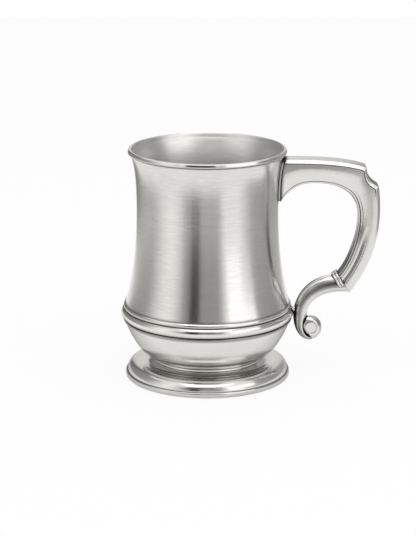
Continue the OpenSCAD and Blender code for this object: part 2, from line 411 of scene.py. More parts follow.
@dataclass(frozen=True)
class TurnedPewter:
    """Pewter finished on the lathe: a metal whose gloss is drawn out across the tool's fine rings.

    Attributes:
        name: Common name of the finish.
        tint: Colour of the clean metal.
        oxide: Colour of the dark film and of the painted shade in the grooves.
        roughness: Mean roughness.
        spread: How far the gloss is drawn out across the rings, from 0 to 1.
        ring_mm: Spacing of the rings. A tool leaves them 0.1 to 0.2 mm apart. They are drawn coarser, so that
            they show at the picture's 0.6 mm a pixel.
        lay_mm: Length of one scratch of a ring.
        ring_um: Height of the rings in thousandths of a millimetre.
        grain_mm: Size of the satin grain, drawn coarser than the real one for the same reason.
        grain_um: Height of that grain in thousandths of a millimetre.
        ring_tone: How much darker the deepest scratches are.
        ring_gloss: How much the roughness changes from ring to ring.
        cloud_mm: Size of the soft clouds in the tone.
        CLOUD_TONE: How much darker the clouds are at most.
        DULLING: How much rougher full oxide is.
        QUARTER_TURN: Turn that lays the gloss across the rings.
    """

    CLOUD_TONE: ClassVar[float] = 0.05
    DULLING: ClassVar[float] = 0.25
    QUARTER_TURN: ClassVar[float] = 0.25

    name: str
    tint: str = "#E4E3E0"
    oxide: str = "#20201E"
    roughness: float = 0.18
    spread: float = 0.4
    ring_mm: float = 1.0
    lay_mm: float = 7.0
    ring_um: float = 17.0
    grain_mm: float = 0.7
    grain_um: float = 0.0
    ring_tone: float = 0.09
    ring_gloss: float = 0.03
    cloud_mm: float = 16.0

    def material(self) -> bpy.types.Material:
        """Build the finish.

        Returns:
            The material.
        """
        made, tree = blank_material(self.name)
        place = add(tree, "ShaderNodeTexCoord").outputs["Object"]
        rings = self.rings(tree, place)
        # Soft clouds, and more tarnish in the deepest scratches, keep the tone from being even.
        cloud = {"Vector": place, "Scale": 1 / (self.cloud_mm * MM), "Detail": 3.0, "Roughness": 0.5}
        clouds = add(tree, "ShaderNodeTexNoise", cloud)
        tone = add(tree, "ShaderNodeMapRange", {"Value": clouds, 1: 0.3, 2: 0.7, 3: 0.0, 4: self.CLOUD_TONE})
        deep = {"Value": rings, 1: 0.35, 2: 0.65, 3: 0.0, 4: self.ring_tone}
        scored = add(tree, "ShaderNodeMapRange", deep)
        film = add(tree, "ShaderNodeMath", {0: tone, 1: scored}, operation="ADD")
        low, high = self.roughness - self.ring_gloss, self.roughness + self.ring_gloss
        gloss = add(tree, "ShaderNodeMapRange", {"Value": rings, 1: 0.25, 2: 0.75, 3: low, 4: high})
        colour, dulled = tarnished(tree, film, (self.tint, self.oxide), gloss, self.DULLING)
        # The rings, and the satin grain on top of them, catch the light.
        ridges = {"Strength": 1.0, "Distance": self.ring_um * MM * MM, "Height": rings}
        relief = add(tree, "ShaderNodeBump", ridges)
        speck = {"Vector": place, "Scale": 1 / (self.grain_mm * MM), "Detail": 2.0, "Roughness": 0.6}
        grain = add(tree, "ShaderNodeTexNoise", speck)
        satin = {"Strength": 1.0, "Distance": self.grain_um * MM * MM, "Height": grain, "Normal": relief}
        skin = add(tree, "ShaderNodeBump", satin)
        round_axis = add(tree, "ShaderNodeTangent", direction_type="RADIAL", axis="Z")
        surface = add(
            tree,
            "ShaderNodeBsdfPrincipled",
            {
                "Base Color": colour,
                "Metallic": 1.0,
                "Roughness": dulled,
                "Anisotropic": self.spread,
                "Anisotropic Rotation": self.QUARTER_TURN,
                "Normal": skin,
                "Tangent": round_axis,
            },
        )
        add(tree, "ShaderNodeOutputMaterial", {"Surface": surface})
        return made

    def rings(self, tree: bpy.types.NodeTree, place: bpy.types.NodeSocket) -> bpy.types.Node:
        """The tool's rings: noise that changes fast along the wall's section and slowly round the axis.

        Args:
            tree: The material's tree.
            place: Object coordinates in metres.

        Returns:
            Node that gives a value about 0.5.
        """
        fine, slow = 1 / (self.ring_mm * MM), 1 / (self.lay_mm * MM)
        flat = add(tree, "ShaderNodeVectorMath", {0: place, 1: (1, 1, 0)}, operation="MULTIPLY")
        radius = add(tree, "ShaderNodeVectorMath", {0: flat}, operation="LENGTH").outputs["Value"]
        pull = (slow, slow, fine)
        stretched = add(tree, "ShaderNodeVectorMath", {0: place, 1: pull}, operation="MULTIPLY")
        outward = add(tree, "ShaderNodeMath", {0: radius, 1: fine}, operation="MULTIPLY")
        inputs = {"Vector": stretched, "W": outward, "Scale": 1.0, "Detail": 4.0, "Roughness": 0.7}
        return add(tree, "ShaderNodeTexNoise", inputs, noise_dimensions="4D")


@dataclass(frozen=True)
class CastPewter:
    """Cast pewter polished by hand: bright crowns, a faintly wavy skin, and dark oxide and painted shade in
    the creases.

    Attributes:
        name: Common name of the finish.
        tint: Colour of the clean metal.
        oxide: Colour of the dark film and of the painted shade in the creases.
        roughness: Mean roughness.
        wave_mm: Size of the polishing waves.
        wave_um: Height of the waves in thousandths of a millimetre.
        scratch_mm: Spacing of the fine polishing scratches, drawn coarser than the mop leaves them, so that
            they show.
        scratch_gloss: How much smoother and how much rougher the scratches make the metal.
        WAVE_TONE: How much darker the hollows of the waves are at most.
        DULLING: How much rougher full oxide is.
    """

    WAVE_TONE: ClassVar[float] = 0.04
    DULLING: ClassVar[float] = 0.3

    name: str
    tint: str = "#E4E3E0"
    oxide: str = "#1A1A19"
    roughness: float = 0.22
    wave_mm: float = 7.0
    wave_um: float = 12.0
    scratch_mm: float = 0.4
    scratch_gloss: Pair = (0.04, 0.05)

    def material(self) -> bpy.types.Material:
        """Build the finish.

        Returns:
            The material.
        """
        made, tree = blank_material(self.name)
        place = add(tree, "ShaderNodeTexCoord").outputs["Object"]
        waves = add(
            tree, "ShaderNodeTexNoise", {"Vector": place, "Scale": 1 / (self.wave_mm * MM), "Detail": 1.0}
        )
        film = add(tree, "ShaderNodeMapRange", {"Value": waves, 1: 0.3, 2: 0.7, 3: 0.0, 4: self.WAVE_TONE})
        scratch = {"Vector": place, "Scale": 1 / (self.scratch_mm * MM), "Detail": 2.0, "Roughness": 0.6}
        scratches = add(tree, "ShaderNodeTexNoise", scratch)
        low, high = self.roughness - self.scratch_gloss[0], self.roughness + self.scratch_gloss[1]
        gloss = add(tree, "ShaderNodeMapRange", {"Value": scratches, 1: 0.25, 2: 0.75, 3: low, 4: high})
        colour, dulled = tarnished(tree, film, (self.tint, self.oxide), gloss, self.DULLING)
        swell = {"Strength": 1.0, "Distance": self.wave_um * MM * MM, "Height": waves}
        relief = add(tree, "ShaderNodeBump", swell)
        surface = add(
            tree,
            "ShaderNodeBsdfPrincipled",
            {"Base Color": colour, "Metallic": 1.0, "Roughness": dulled, "Normal": relief},
        )
        add(tree, "ShaderNodeOutputMaterial", {"Surface": surface})
        return made


# Meshes


def settled(name: str, mesh: bpy.types.Mesh, node: str, crease: float = 38.0) -> bpy.types.Object:
    """Make a finished piece of a mesh, and say which node it stands for.

    Args:
        name: The piece's name.
        mesh: Its mesh, in metres in the part's frame.
        node: The node that it replaces.
        crease: Angle in degrees above which an edge shows as a sharp line.

    Returns:
        The piece.
    """
    mesh.name = name
    mesh.shade_smooth()
    mesh.set_sharp_from_angle(angle=math.radians(crease))
    piece = bpy.data.objects.new(name, mesh)
    bpy.context.scene.collection.objects.link(piece)
    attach(piece, BODY)
    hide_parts(node)
    log.info("%s stands for %s: %d faces", name, node, len(mesh.polygons))
    return piece


class Skin:
    """A mesh in the making: points in millimetres, faces, and patina with painted shade."""

    def __init__(self) -> None:
        """Start with nothing.

        The count of points so far is where the numbers of the next body's points start.
        """
        self.points: list[np.ndarray] = []
        self.shades: list[np.ndarray] = []
        self.faces: list[tuple[int, ...]] = []
        self.count = 0

    def loft(self, rings: np.ndarray, shades: np.ndarray) -> None:
        """Add a closed body through rings of points, with a fan over each end.

        Args:
            rings: Rings, points and coordinates, in that order of axes.
            shades: Patina and painted shade of each point.
        """
        rows, around = rings.shape[:2]
        ends = rings[[0, -1]].mean(1)
        points = np.concatenate([rings.reshape(-1, 3), ends])
        a = np.arange(rows - 1)[:, None] * around + np.arange(around)
        b = np.arange(rows - 1)[:, None] * around + (np.arange(around) + 1) % around
        quads = np.stack([a, b, b + around, a + around], -1).reshape(-1, 4)
        first, last = rows * around, rows * around + 1
        k, n = np.arange(around), (np.arange(around) + 1) % around
        caps = [(first, int(j), int(i)) for i, j in zip(k, n)]
        top = (rows - 1) * around
        caps += [(last, int(top + i), int(top + j)) for i, j in zip(k, n)]
        faces: list[tuple[int, ...]] = [tuple(int(v) for v in q) for q in quads] + caps
        tri = np.array([(f[0], f[i], f[i + 1]) for f in faces for i in range(1, len(f) - 1)])
        # The faces are turned round where they would point inwards.
        volume = np.einsum("ij,ij->", points[tri[:, 0]], np.cross(points[tri[:, 1]], points[tri[:, 2]]))
        if volume < 0:
            faces = [f[::-1] for f in faces]
        self.faces += [tuple(v + self.count for v in f) for f in faces]
        self.points.append(points)
        self.shades.append(np.concatenate([shades.reshape(-1), shades[[0, -1]].mean(1)]))
        self.count += len(points)

    def mesh(self, material: bpy.types.Material) -> bpy.types.Mesh:
        """Turn the skin into a mesh.

        Args:
            material: The finish of all its faces.

        Returns:
            The mesh, in metres.
        """
        made = bpy.data.meshes.new("skin")
        made.from_pydata((np.concatenate(self.points) * MM).tolist(), [], self.faces)
        shade = made.attributes.new(SHADE_AND_PATINA, "FLOAT", "POINT")
        shade.data.foreach_set("value", np.concatenate(self.shades).astype(np.float32))
        made.materials.append(material)
        return made


class Lathe:
    """The geometry tree that turns a half section about the Z axis, as the spinner's lathe does.

    Attributes:
        SEGMENTS: Flat faces in one turn.
        SEAM: Distance in metres within which the turn's first and last points become one.
    """

    SEGMENTS = 256
    SEAM = 2e-6

    def __init__(self) -> None:
        """Build the tree.

        A flat sheet gets one column for each step of the turn and one row for each point of the half section.
        Each of its points then moves to the section's point of that row, turned by the column's angle, and
        takes its patina and painted shade along.
        """
        tree = bpy.data.node_groups.new("turned from a half section", "GeometryNodeTree")
        socket = tree.interface.new_socket
        socket("Half section", in_out="INPUT", socket_type="NodeSocketGeometry")
        self.segments_key = socket("Segments", in_out="INPUT", socket_type="NodeSocketInt").identifier
        self.finish_key = socket("Finish", in_out="INPUT", socket_type="NodeSocketMaterial").identifier
        socket("Wall", in_out="OUTPUT", socket_type="NodeSocketGeometry")
        given = add(tree, "NodeGroupInput").outputs
        section, segments = given["Half section"], given["Segments"]
        size = add(tree, "GeometryNodeAttributeDomainSize", {"Geometry": section}, component="MESH")
        rows = size.outputs["Point Count"]
        columns = add(tree, "ShaderNodeMath", {0: segments, 1: 1.0}, operation="ADD")
        sheet = add(tree, "GeometryNodeMeshGrid", {"Vertices X": columns, "Vertices Y": rows})
        index = add(tree, "GeometryNodeInputIndex")
        share = add(tree, "ShaderNodeMath", {0: index, 1: rows}, operation="DIVIDE")
        column = add(tree, "ShaderNodeMath", {0: share}, operation="FLOOR")
        row = add(tree, "ShaderNodeMath", {0: index, 1: rows}, operation="MODULO")
        part = add(tree, "ShaderNodeMath", {0: column, 1: segments}, operation="DIVIDE")
        turn = add(tree, "ShaderNodeMath", {0: part, 1: math.tau}, operation="MULTIPLY")
        place = add(tree, "GeometryNodeInputPosition")
        read = {"Geometry": section, "Value": place, "Index": row}
        where = add(tree, "GeometryNodeSampleIndex", read, data_type="FLOAT_VECTOR").outputs["Value"]
        named = add(tree, "GeometryNodeInputNamedAttribute", {"Name": SHADE_AND_PATINA}, data_type="FLOAT")
        read = {"Geometry": section, "Value": named.outputs["Attribute"], "Index": row}
        shade = add(tree, "GeometryNodeSampleIndex", read, data_type="FLOAT").outputs["Value"]
        turned = add(tree, "ShaderNodeVectorRotate", {"Vector": where, "Angle": turn}, rotation_type="Z_AXIS")
        moved = {"Geometry": sheet.outputs["Mesh"], "Position": turned}
        placed = add(tree, "GeometryNodeSetPosition", moved)
        kept = {"Geometry": placed, "Name": SHADE_AND_PATINA, "Value": shade}
        shaded = add(tree, "GeometryNodeStoreNamedAttribute", kept, data_type="FLOAT", domain="POINT")
        closed = add(tree, "GeometryNodeMergeByDistance", {"Geometry": shaded, "Distance": self.SEAM})
        real = add(tree, "GeometryNodeRealizeInstances", {"Geometry": closed})
        done = add(tree, "GeometryNodeSetMaterial", {"Geometry": real, "Material": given["Finish"]})
        add(tree, "NodeGroupOutput", {"Wall": done})
        self.tree = tree

    def turn(
        self,
        outline: np.ndarray,
        grooves: Sequence[Groove],
        material: bpy.types.Material,
        spacing: float = 0.9,
    ) -> bpy.types.Mesh:
        """Turn a half section into a wall.

        Args:
            outline: Its points (radius, height) in mm. A ring's outline ends where it starts.
            grooves: Its dark lines.
            material: Its finish.
            spacing: Largest gap between two points of the outline.

        Returns:
            The mesh, in metres.
        """
        # The wall's faces point outwards where its section runs counterclockwise.
        points = refined(np.asarray(outline, float), spacing)
        r, z = points.T
        if np.sum(r * np.roll(z, -1) - np.roll(r, -1) * z) < 0:
            points = points[::-1]
        flat = bpy.data.meshes.new("half section")
        places = np.stack([points[:, 0], np.zeros(len(points)), points[:, 1]], -1) * MM
        flat.from_pydata(places.tolist(), [(i, i + 1) for i in range(len(points) - 1)], [])
        shade = flat.attributes.new(SHADE_AND_PATINA, "FLOAT", "POINT")
        shade.data.foreach_set("value", shade_and_patina_near(points, grooves).astype(np.float32))
        blank = bpy.data.objects.new("half section", flat)
        bpy.context.scene.collection.objects.link(blank)
        turning = blank.modifiers.new("turning", "NODES")
        turning.node_group = self.tree
        turning[self.segments_key] = self.SEGMENTS
        turning[self.finish_key] = material
        ready = blank.evaluated_get(bpy.context.evaluated_depsgraph_get())
        made = bpy.data.meshes.new_from_object(ready)
        made.materials.clear()
        made.materials.append(material)
        made.polygons.foreach_set("material_index", np.zeros(len(made.polygons), np.int32))
        bpy.data.objects.remove(blank)
        bpy.data.meshes.remove(flat)
        return made


# Vessel


@dataclass
class Vessel:
    """Barrel, bowl, the band over their seam and the bead of the mouth.

    Attributes:
        lip_z: Height of the lip.
        lip_r: Outer radius of the lip.
        lip_bead: Thickness of the lip's bead.
        wall: Thickness of the wall.
        belly_r: Radius of the band's middle reed, the widest place.
        band_z: Height of the band.
        reed_mid: Radius of the middle reed's round.
        reed_cut: How far its lower groove is cut below the place where the rounds cross.
        waist: Radius and height of the barrel's narrowest place.
        thin: How far the barrel's edge is thinned on each side, for the slot in the lip's bead.
        slot: Depth of that slot.
        polish: What polishing takes off a crown.
        neck_z: Height of the neck under the bowl.
        neck_r: Radius of the neck.
        wire: Height of the wire round the neck, on which the bowl's outer face starts.
        boss_r: Radius of the boss under the floor, which sits in the foot.
        boss_t: Height of that boss.
    """

    lip_z: float = 130.0
    lip_r: float = 44.0
    lip_bead: float = 2.8
    wall: float = 1.6
    belly_r: float = 48.4
    band_z: float = 37.0
    reed_mid: float = 3.3
    reed_cut: float = 0.55
    waist: Pair = (39.3, 91.0)
    thin: float = 0.35
    slot: float = 1.1
    polish: float = 0.02
    neck_z: float = 10.4
    neck_r: float = 32.0
    wire: float = 1.5
    boss_r: float = 24.0
    boss_t: float = 1.8

    def __post_init__(self) -> None:
        """Work out the sizes that follow from the others, and the barrel's outer contour.

        The contour is two curves that meet at the waist, where their bend is evened out.
        """
        self.band_low, self.band_high = self.band_z - 4.5, self.band_z + 4.8
        self.seat_r = self.belly_r - 3
        self.lap_r = self.seat_r - self.wall / 2
        self.lap_low, self.lap_high = self.band_z + 0.4, self.band_z + 2.4
        self.rim = np.array([self.lip_r - 1, self.lip_z - 2.4])
        self.wire_seat = self.neck_r - 1.6
        foot = (self.belly_r - 2.4, self.band_high)
        waist = self.waist
        low = [foot, (foot[0] - 4.3, foot[1] + 14.4), (waist[0], waist[1] - 13), waist]
        up = [waist, (waist[0], waist[1] + 16.5), tuple(self.rim - [3.5, 7]), tuple(self.rim)]
        self.side = relaxed(np.concatenate([run(low, 60), run(up, 60)[1:]]), waist[1], 13.0)

    def radius_at(self, z: np.ndarray) -> np.ndarray:
        """Outer radius of the barrel at some heights."""
        return np.interp(z, self.side[:, 1], self.side[:, 0])

    def barrel(
        self, lathe: Lathe, outside: bpy.types.Material, inside: bpy.types.Material
    ) -> bpy.types.Object:
        """Turn the barrel.

        Args:
            lathe: The lathe.
            outside: Finish of its outer face.
            inside: Finish of its inner face.

        Returns:
            The piece.
        """
        outline = np.concatenate(
            [
                [(self.lap_r, self.lap_low), (self.seat_r, self.lap_low), (self.seat_r, self.band_high)],
                self.side,
                self.tongue(),
                (self.side - [self.wall, 0])[::-1],
                [(self.seat_r - self.wall, self.lap_high), (self.lap_r, self.lap_high)],
                [(self.lap_r, self.lap_low)],
            ]
        )
        # Painted shade at the barrel's foot above the band, and a painted shadow line under the lip's bead.
        grooves = [Groove(tuple(self.side[0]), 1.0, 0.8), Groove(tuple(self.rim), 0.7, 1.0)]
        mesh = lathe.turn(outline, grooves, outside)
        mesh.materials.append(inside)
        self.line(mesh, self.side[:, 1], self.side[:, 0] - self.wall / 2)
        return settled("satin_barrel", mesh, "barrel")

    def tongue(self) -> np.ndarray:
        """Thinned edge of the barrel, which fills the slot in the lip's bead.

        Returns:
            Its four corners, from the outside in.
        """
        outer, inner = -self.thin, self.thin - self.wall
        return self.rim + np.array([(outer, 0), (outer, self.slot), (inner, self.slot), (inner, 0)])

    def line(self, mesh: bpy.types.Mesh, heights: np.ndarray, middles: np.ndarray) -> None:
        """Give the faces inside a wall's middle line the mesh's second finish, clean of the outside's painted
        shade and oxide.

        Args:
            mesh: A turned mesh.
            heights: Rising heights in mm.
            middles: Radius of the middle of the wall at those heights.
        """

        def within(places: np.ndarray) -> np.ndarray:
            """Whether places in metres lie inside the middle line."""
            x, y, z = places.T / MM
            return np.hypot(x, y) < np.interp(z, heights, middles)

        inner = within(values_of(mesh.polygons, "center", 3))
        mesh.polygons.foreach_set("material_index", inner.astype(np.int32))
        stored = mesh.attributes[SHADE_AND_PATINA].data
        clean = within(values_of(mesh.vertices, "co", 3))
        stored.foreach_set("value", np.where(clean, 0, values_of(stored, "value")))

    def mouth_bead(
        self, lathe: Lathe, outside: bpy.types.Material, inside: bpy.types.Material
    ) -> bpy.types.Object:
        """Turn the bead that caps the mouth, with the flat that rubbing has worn on its outer shoulder.

        Args:
            lathe: The lathe.
            outside: Finish of its outer face.
            inside: Finish of its inner face.

        Returns:
            The piece.
        """
        half = self.lip_bead / 2 - self.polish
        centre = np.array([self.lip_r, self.lip_z]) - self.lip_bead / 2
        # Angles on the bead's round: its seam with the barrel, and the two ends of the flat.
        rim, seam, flat_low, flat_high = self.rim, -74.7, -8, 48
        first, last = arc(centre, half, flat_low, flat_high, 1)
        across = 0.34 * (last - first)
        worn = run([first, first + across, last - across, last], 12)
        top = centre + half * np.array([-0.122, 0.9925])
        outline = np.concatenate(
            [
                arc(centre, half, seam, flat_low, 18),
                worn[1:],
                arc(centre, half, flat_high, 97, 16)[1:],
                run([top, top + [-0.4, -0.03], centre + [-0.9, -0.2], rim - [self.wall, 0]], 14)[1:],
                self.tongue()[::-1],
                [rim],
                arc(centre, half, seam, seam, 0),
            ]
        )
        # Painted shadow under the bead, along its seam with the barrel.
        grooves = [Groove((rim[0] + 0.1, rim[1] - 0.3), 0.9, 1.0)]
        mesh = lathe.turn(outline, grooves, outside, 0.3)
        mesh.materials.append(inside)
        self.line(mesh, np.array([0.0, self.lip_z]), np.full(2, centre[0] - 0.3))
        return settled("mouth_bead", mesh, "lip_wire")

    def reeded_band(self, lathe: Lathe, material: bpy.types.Material) -> bpy.types.Object:
        """Turn the band of three reeds: a narrow one, a wide one and a narrow one.

        Args:
            lathe: The lathe.
            material: Its finish.

        Returns:
            The piece.
        """
        # Middle and radius of each reed's round.
        top = ((self.belly_r - 2.8, self.band_z + 3.8), 1.5)
        mid = ((self.belly_r - self.reed_mid, self.band_z - 0.1), self.reed_mid - self.polish)
        low = ((self.belly_r - 2.05, self.band_z - 3.7), 0.95)
        upper, lower = meeting(*top, *mid), meeting(*low, *mid)
        upper_groove = (upper[0] - 0.6 * self.reed_cut, upper[1])
        lower_groove = (lower[0] - self.reed_cut, lower[1])
        start = -85
        outline = np.concatenate(
            [
                arc(*low, start, angle_of(lower, low[0]) - 8, 20),
                [lower_groove],
                arc(*mid, angle_of(lower, mid[0]) + 2, angle_of(upper, mid[0]) - 2, 40),
                [upper_groove],
                arc(*top, angle_of(upper, top[0]) + 4, 79.6, 24),
                [(self.belly_r - 2.4, self.band_high), (self.seat_r, self.band_high)],
                [(self.seat_r, self.band_low)],
                arc(*low, start, start, 0),
            ]
        )
        # Painted shade in the grooves between the reeds and along the band's upper and lower edges.
        grooves = [
            Groove(lower_groove, 1.7, 1.0),
            Groove(upper_groove, 1.0, 1.0),
            Groove((low[0][0], self.band_low), 0.4, 0.6),
            Groove((self.belly_r - 2.4, self.band_high + 0.4), 0.4, 0.6),
        ]
        return settled("reeded_band", lathe.turn(outline, grooves, material, 0.3), "belly_band")

    def bowl(
        self, lathe: Lathe, outside: bpy.types.Material, inside: bpy.types.Material
    ) -> bpy.types.Object:
        """Turn the bellied bowl with the floor.

        Args:
            lathe: The lathe.
            outside: Finish of its outer face.
            inside: Finish of its inner face.

        Returns:
            The piece.
        """
        start = np.array([self.neck_r - 0.5, self.neck_z + self.wire])
        boss, seat = self.boss_r, self.wire_seat
        top_r = self.belly_r - 2
        outer = run([start, start + [6.2, 1], (top_r - 2, self.band_low - 6.3), (top_r, self.band_low)], 48)
        floor_z, in_r = self.neck_z + 2, self.seat_r - self.wall
        inner = run(
            [
                (self.neck_r - 3.5, floor_z),
                (self.neck_r + 5.2, floor_z + 1.2),
                (in_r - 0.8, self.band_low - 5.7),
                (in_r, self.band_low),
            ],
            48,
        )
        under = self.neck_z - self.boss_t
        outline = np.concatenate(
            [
                [(0, under), (boss, under), (boss, self.neck_z), (seat, self.neck_z)],
                [(seat, start[1])],
                outer,
                [(self.seat_r, self.band_low), (self.seat_r, self.lap_low), (self.lap_r, self.lap_low)],
                [(self.lap_r, self.lap_high), (in_r, self.lap_high)],
                inner[::-1],
                [(0, floor_z)],
            ]
        )
        # Painted shade: the bowl darkens towards the wire at the neck, and a dark line runs under the band.
        grooves = [Groove(tuple(start), 2.8, 0.85), Groove((top_r, self.band_low), 0.5, 0.8)]
        mesh = lathe.turn(outline, grooves, outside)
        mesh.materials.append(inside)
        middle = np.concatenate([[(boss, floor_z - 1)], (outer + inner) / 2, [(self.lap_r, self.lap_high)]])
        self.line(mesh, middle[:, 1], middle[:, 0])
        return settled("burnished_bowl", mesh, "belly_bowl")


@dataclass
class Foot:
    """Pedestal foot, its edge ring and the wire round its neck.

    Attributes:
        vessel: What it carries.
        foot_r: Radius of the edge ring.
        edge_z: Height of the edge ring.
        shell: Thickness of the wall.
    """

    vessel: Vessel
    foot_r: float = 46.2
    edge_z: float = 3.0
    shell: float = 1.6

    def __post_init__(self) -> None:
        """Work out the sizes that follow from the others.

        The brink is the moulding's edge, and the ledge is the step of the edge ring that it lies on.
        """
        self.neck_r, self.neck_z = self.vessel.neck_r, self.vessel.neck_z
        self.brink = np.array([self.foot_r - 1, self.edge_z - 0.2])
        self.ledge = np.array([self.foot_r - 4, self.brink[1] - self.shell])

    def neck_wire(self, lathe: Lathe, material: bpy.types.Material) -> bpy.types.Object:
        """Turn the bright wire in the corner under the bowl.

        Args:
            lathe: The lathe.
            material: Its finish.

        Returns:
            The piece.
        """
        r, low, seat = self.neck_r, self.neck_z, self.vessel.wire_seat
        middle, high = (r, low + self.vessel.wire / 2), low + self.vessel.wire
        under = run([(r - 1.2, low - 0.08), (r - 0.3, low - 0.08), (r, low + 0.1), middle], 14)
        over = run([middle, (r, high - 0.15), (r - 0.15, high), (r - 0.5, high)], 14)
        outline = np.concatenate([under, over[1:], [(seat, high), (seat, low)], under[:1]])
        # Painted shade above and below the wire.
        grooves = [Groove((r - 0.4, high), 0.45, 0.9), Groove((r - 1.2, low), 0.5, 0.9)]
        return settled("neck_wire", lathe.turn(outline, grooves, material, 0.25), "foot_wire")

    def pedestal(self, lathe: Lathe, material: bpy.types.Material) -> bpy.types.Object:
        """Turn the hollow pedestal: a cove under the neck, and a round moulding below it.

        Args:
            lathe: The lathe.
            material: Its finish.

        Returns:
            The piece.
        """
        cove = np.array([self.neck_r + 3, self.edge_z + 4.9])
        edge, ledge, neck = self.brink, self.ledge, np.array([self.neck_r - 1.0, self.neck_z - 0.4])
        rise = run([neck, (self.neck_r + 0.2, cove[1] + 0.9), cove - [1.9, 0.2], cove], 40)
        dome = run([cove, cove + [3.2, 0.8], edge + [-0.4, 6.5], edge], 60)
        low = cove - [0.4, self.shell + 0.2]
        seat, boss = np.array([self.neck_r - 4, self.neck_z - self.vessel.boss_t]), self.vessel.boss_r
        under = run([ledge, (ledge[0] + 0.6, low[1] + 1.5), low + [3.4, 1.5], low], 24)
        inside = run([low, low - [4.6, 0], (seat[0], cove[1] - 0.4), seat], 20)
        outline = np.concatenate(
            [
                rise,
                dome[1:],
                [(edge[0], ledge[1])],
                under,
                inside[1:],
                [(boss, seat[1]), (boss, self.neck_z), (self.neck_r - 1.8, self.neck_z)],
                rise[:1],
            ]
        )
        # Painted shade in the corner under the wire and along the moulding's edge.
        grooves = [Groove((self.neck_r - 1.9, self.neck_z), 0.8, 0.9), Groove(tuple(edge), 0.5, 0.95)]
        return settled("pedestal_foot", lathe.turn(outline, grooves, material, 0.5), "foot")

    def edge_ring(self, lathe: Lathe, material: bpy.types.Material) -> bpy.types.Object:
        """Turn the rounded ring that the tankard stands on.

        Args:
            lathe: The lathe.
            material: Its finish.

        Returns:
            The piece.
        """
        # Polishing takes a hundredth of a millimetre off the ring and rounds its edges.
        r, top, soft = self.foot_r - 0.01, self.edge_z, 0.75
        bottom = run([(r - soft, 0), (r - 0.25, 0), (r, 0.25), (r, soft)], 10)
        crown = run([(r, top - 1.1), (r, top - 0.4), (r - 0.3, top), (r - soft, top)], 14)
        outline = np.concatenate(
            [
                [(self.ledge[0], 0)],
                bottom,
                crown,
                [self.brink, (self.brink[0], self.ledge[1]), self.ledge, (self.ledge[0], 0)],
            ]
        )
        # Painted shade on the ring's edge, and darker towards the bottom where it stands on the table.
        grooves = [Groove(tuple(self.brink), 0.5, 0.97), Groove((r, 0), 3.0, 0.35)]
        return settled("foot_edge", lathe.turn(outline, grooves, material, 0.3), "foot_rim")


# Handle


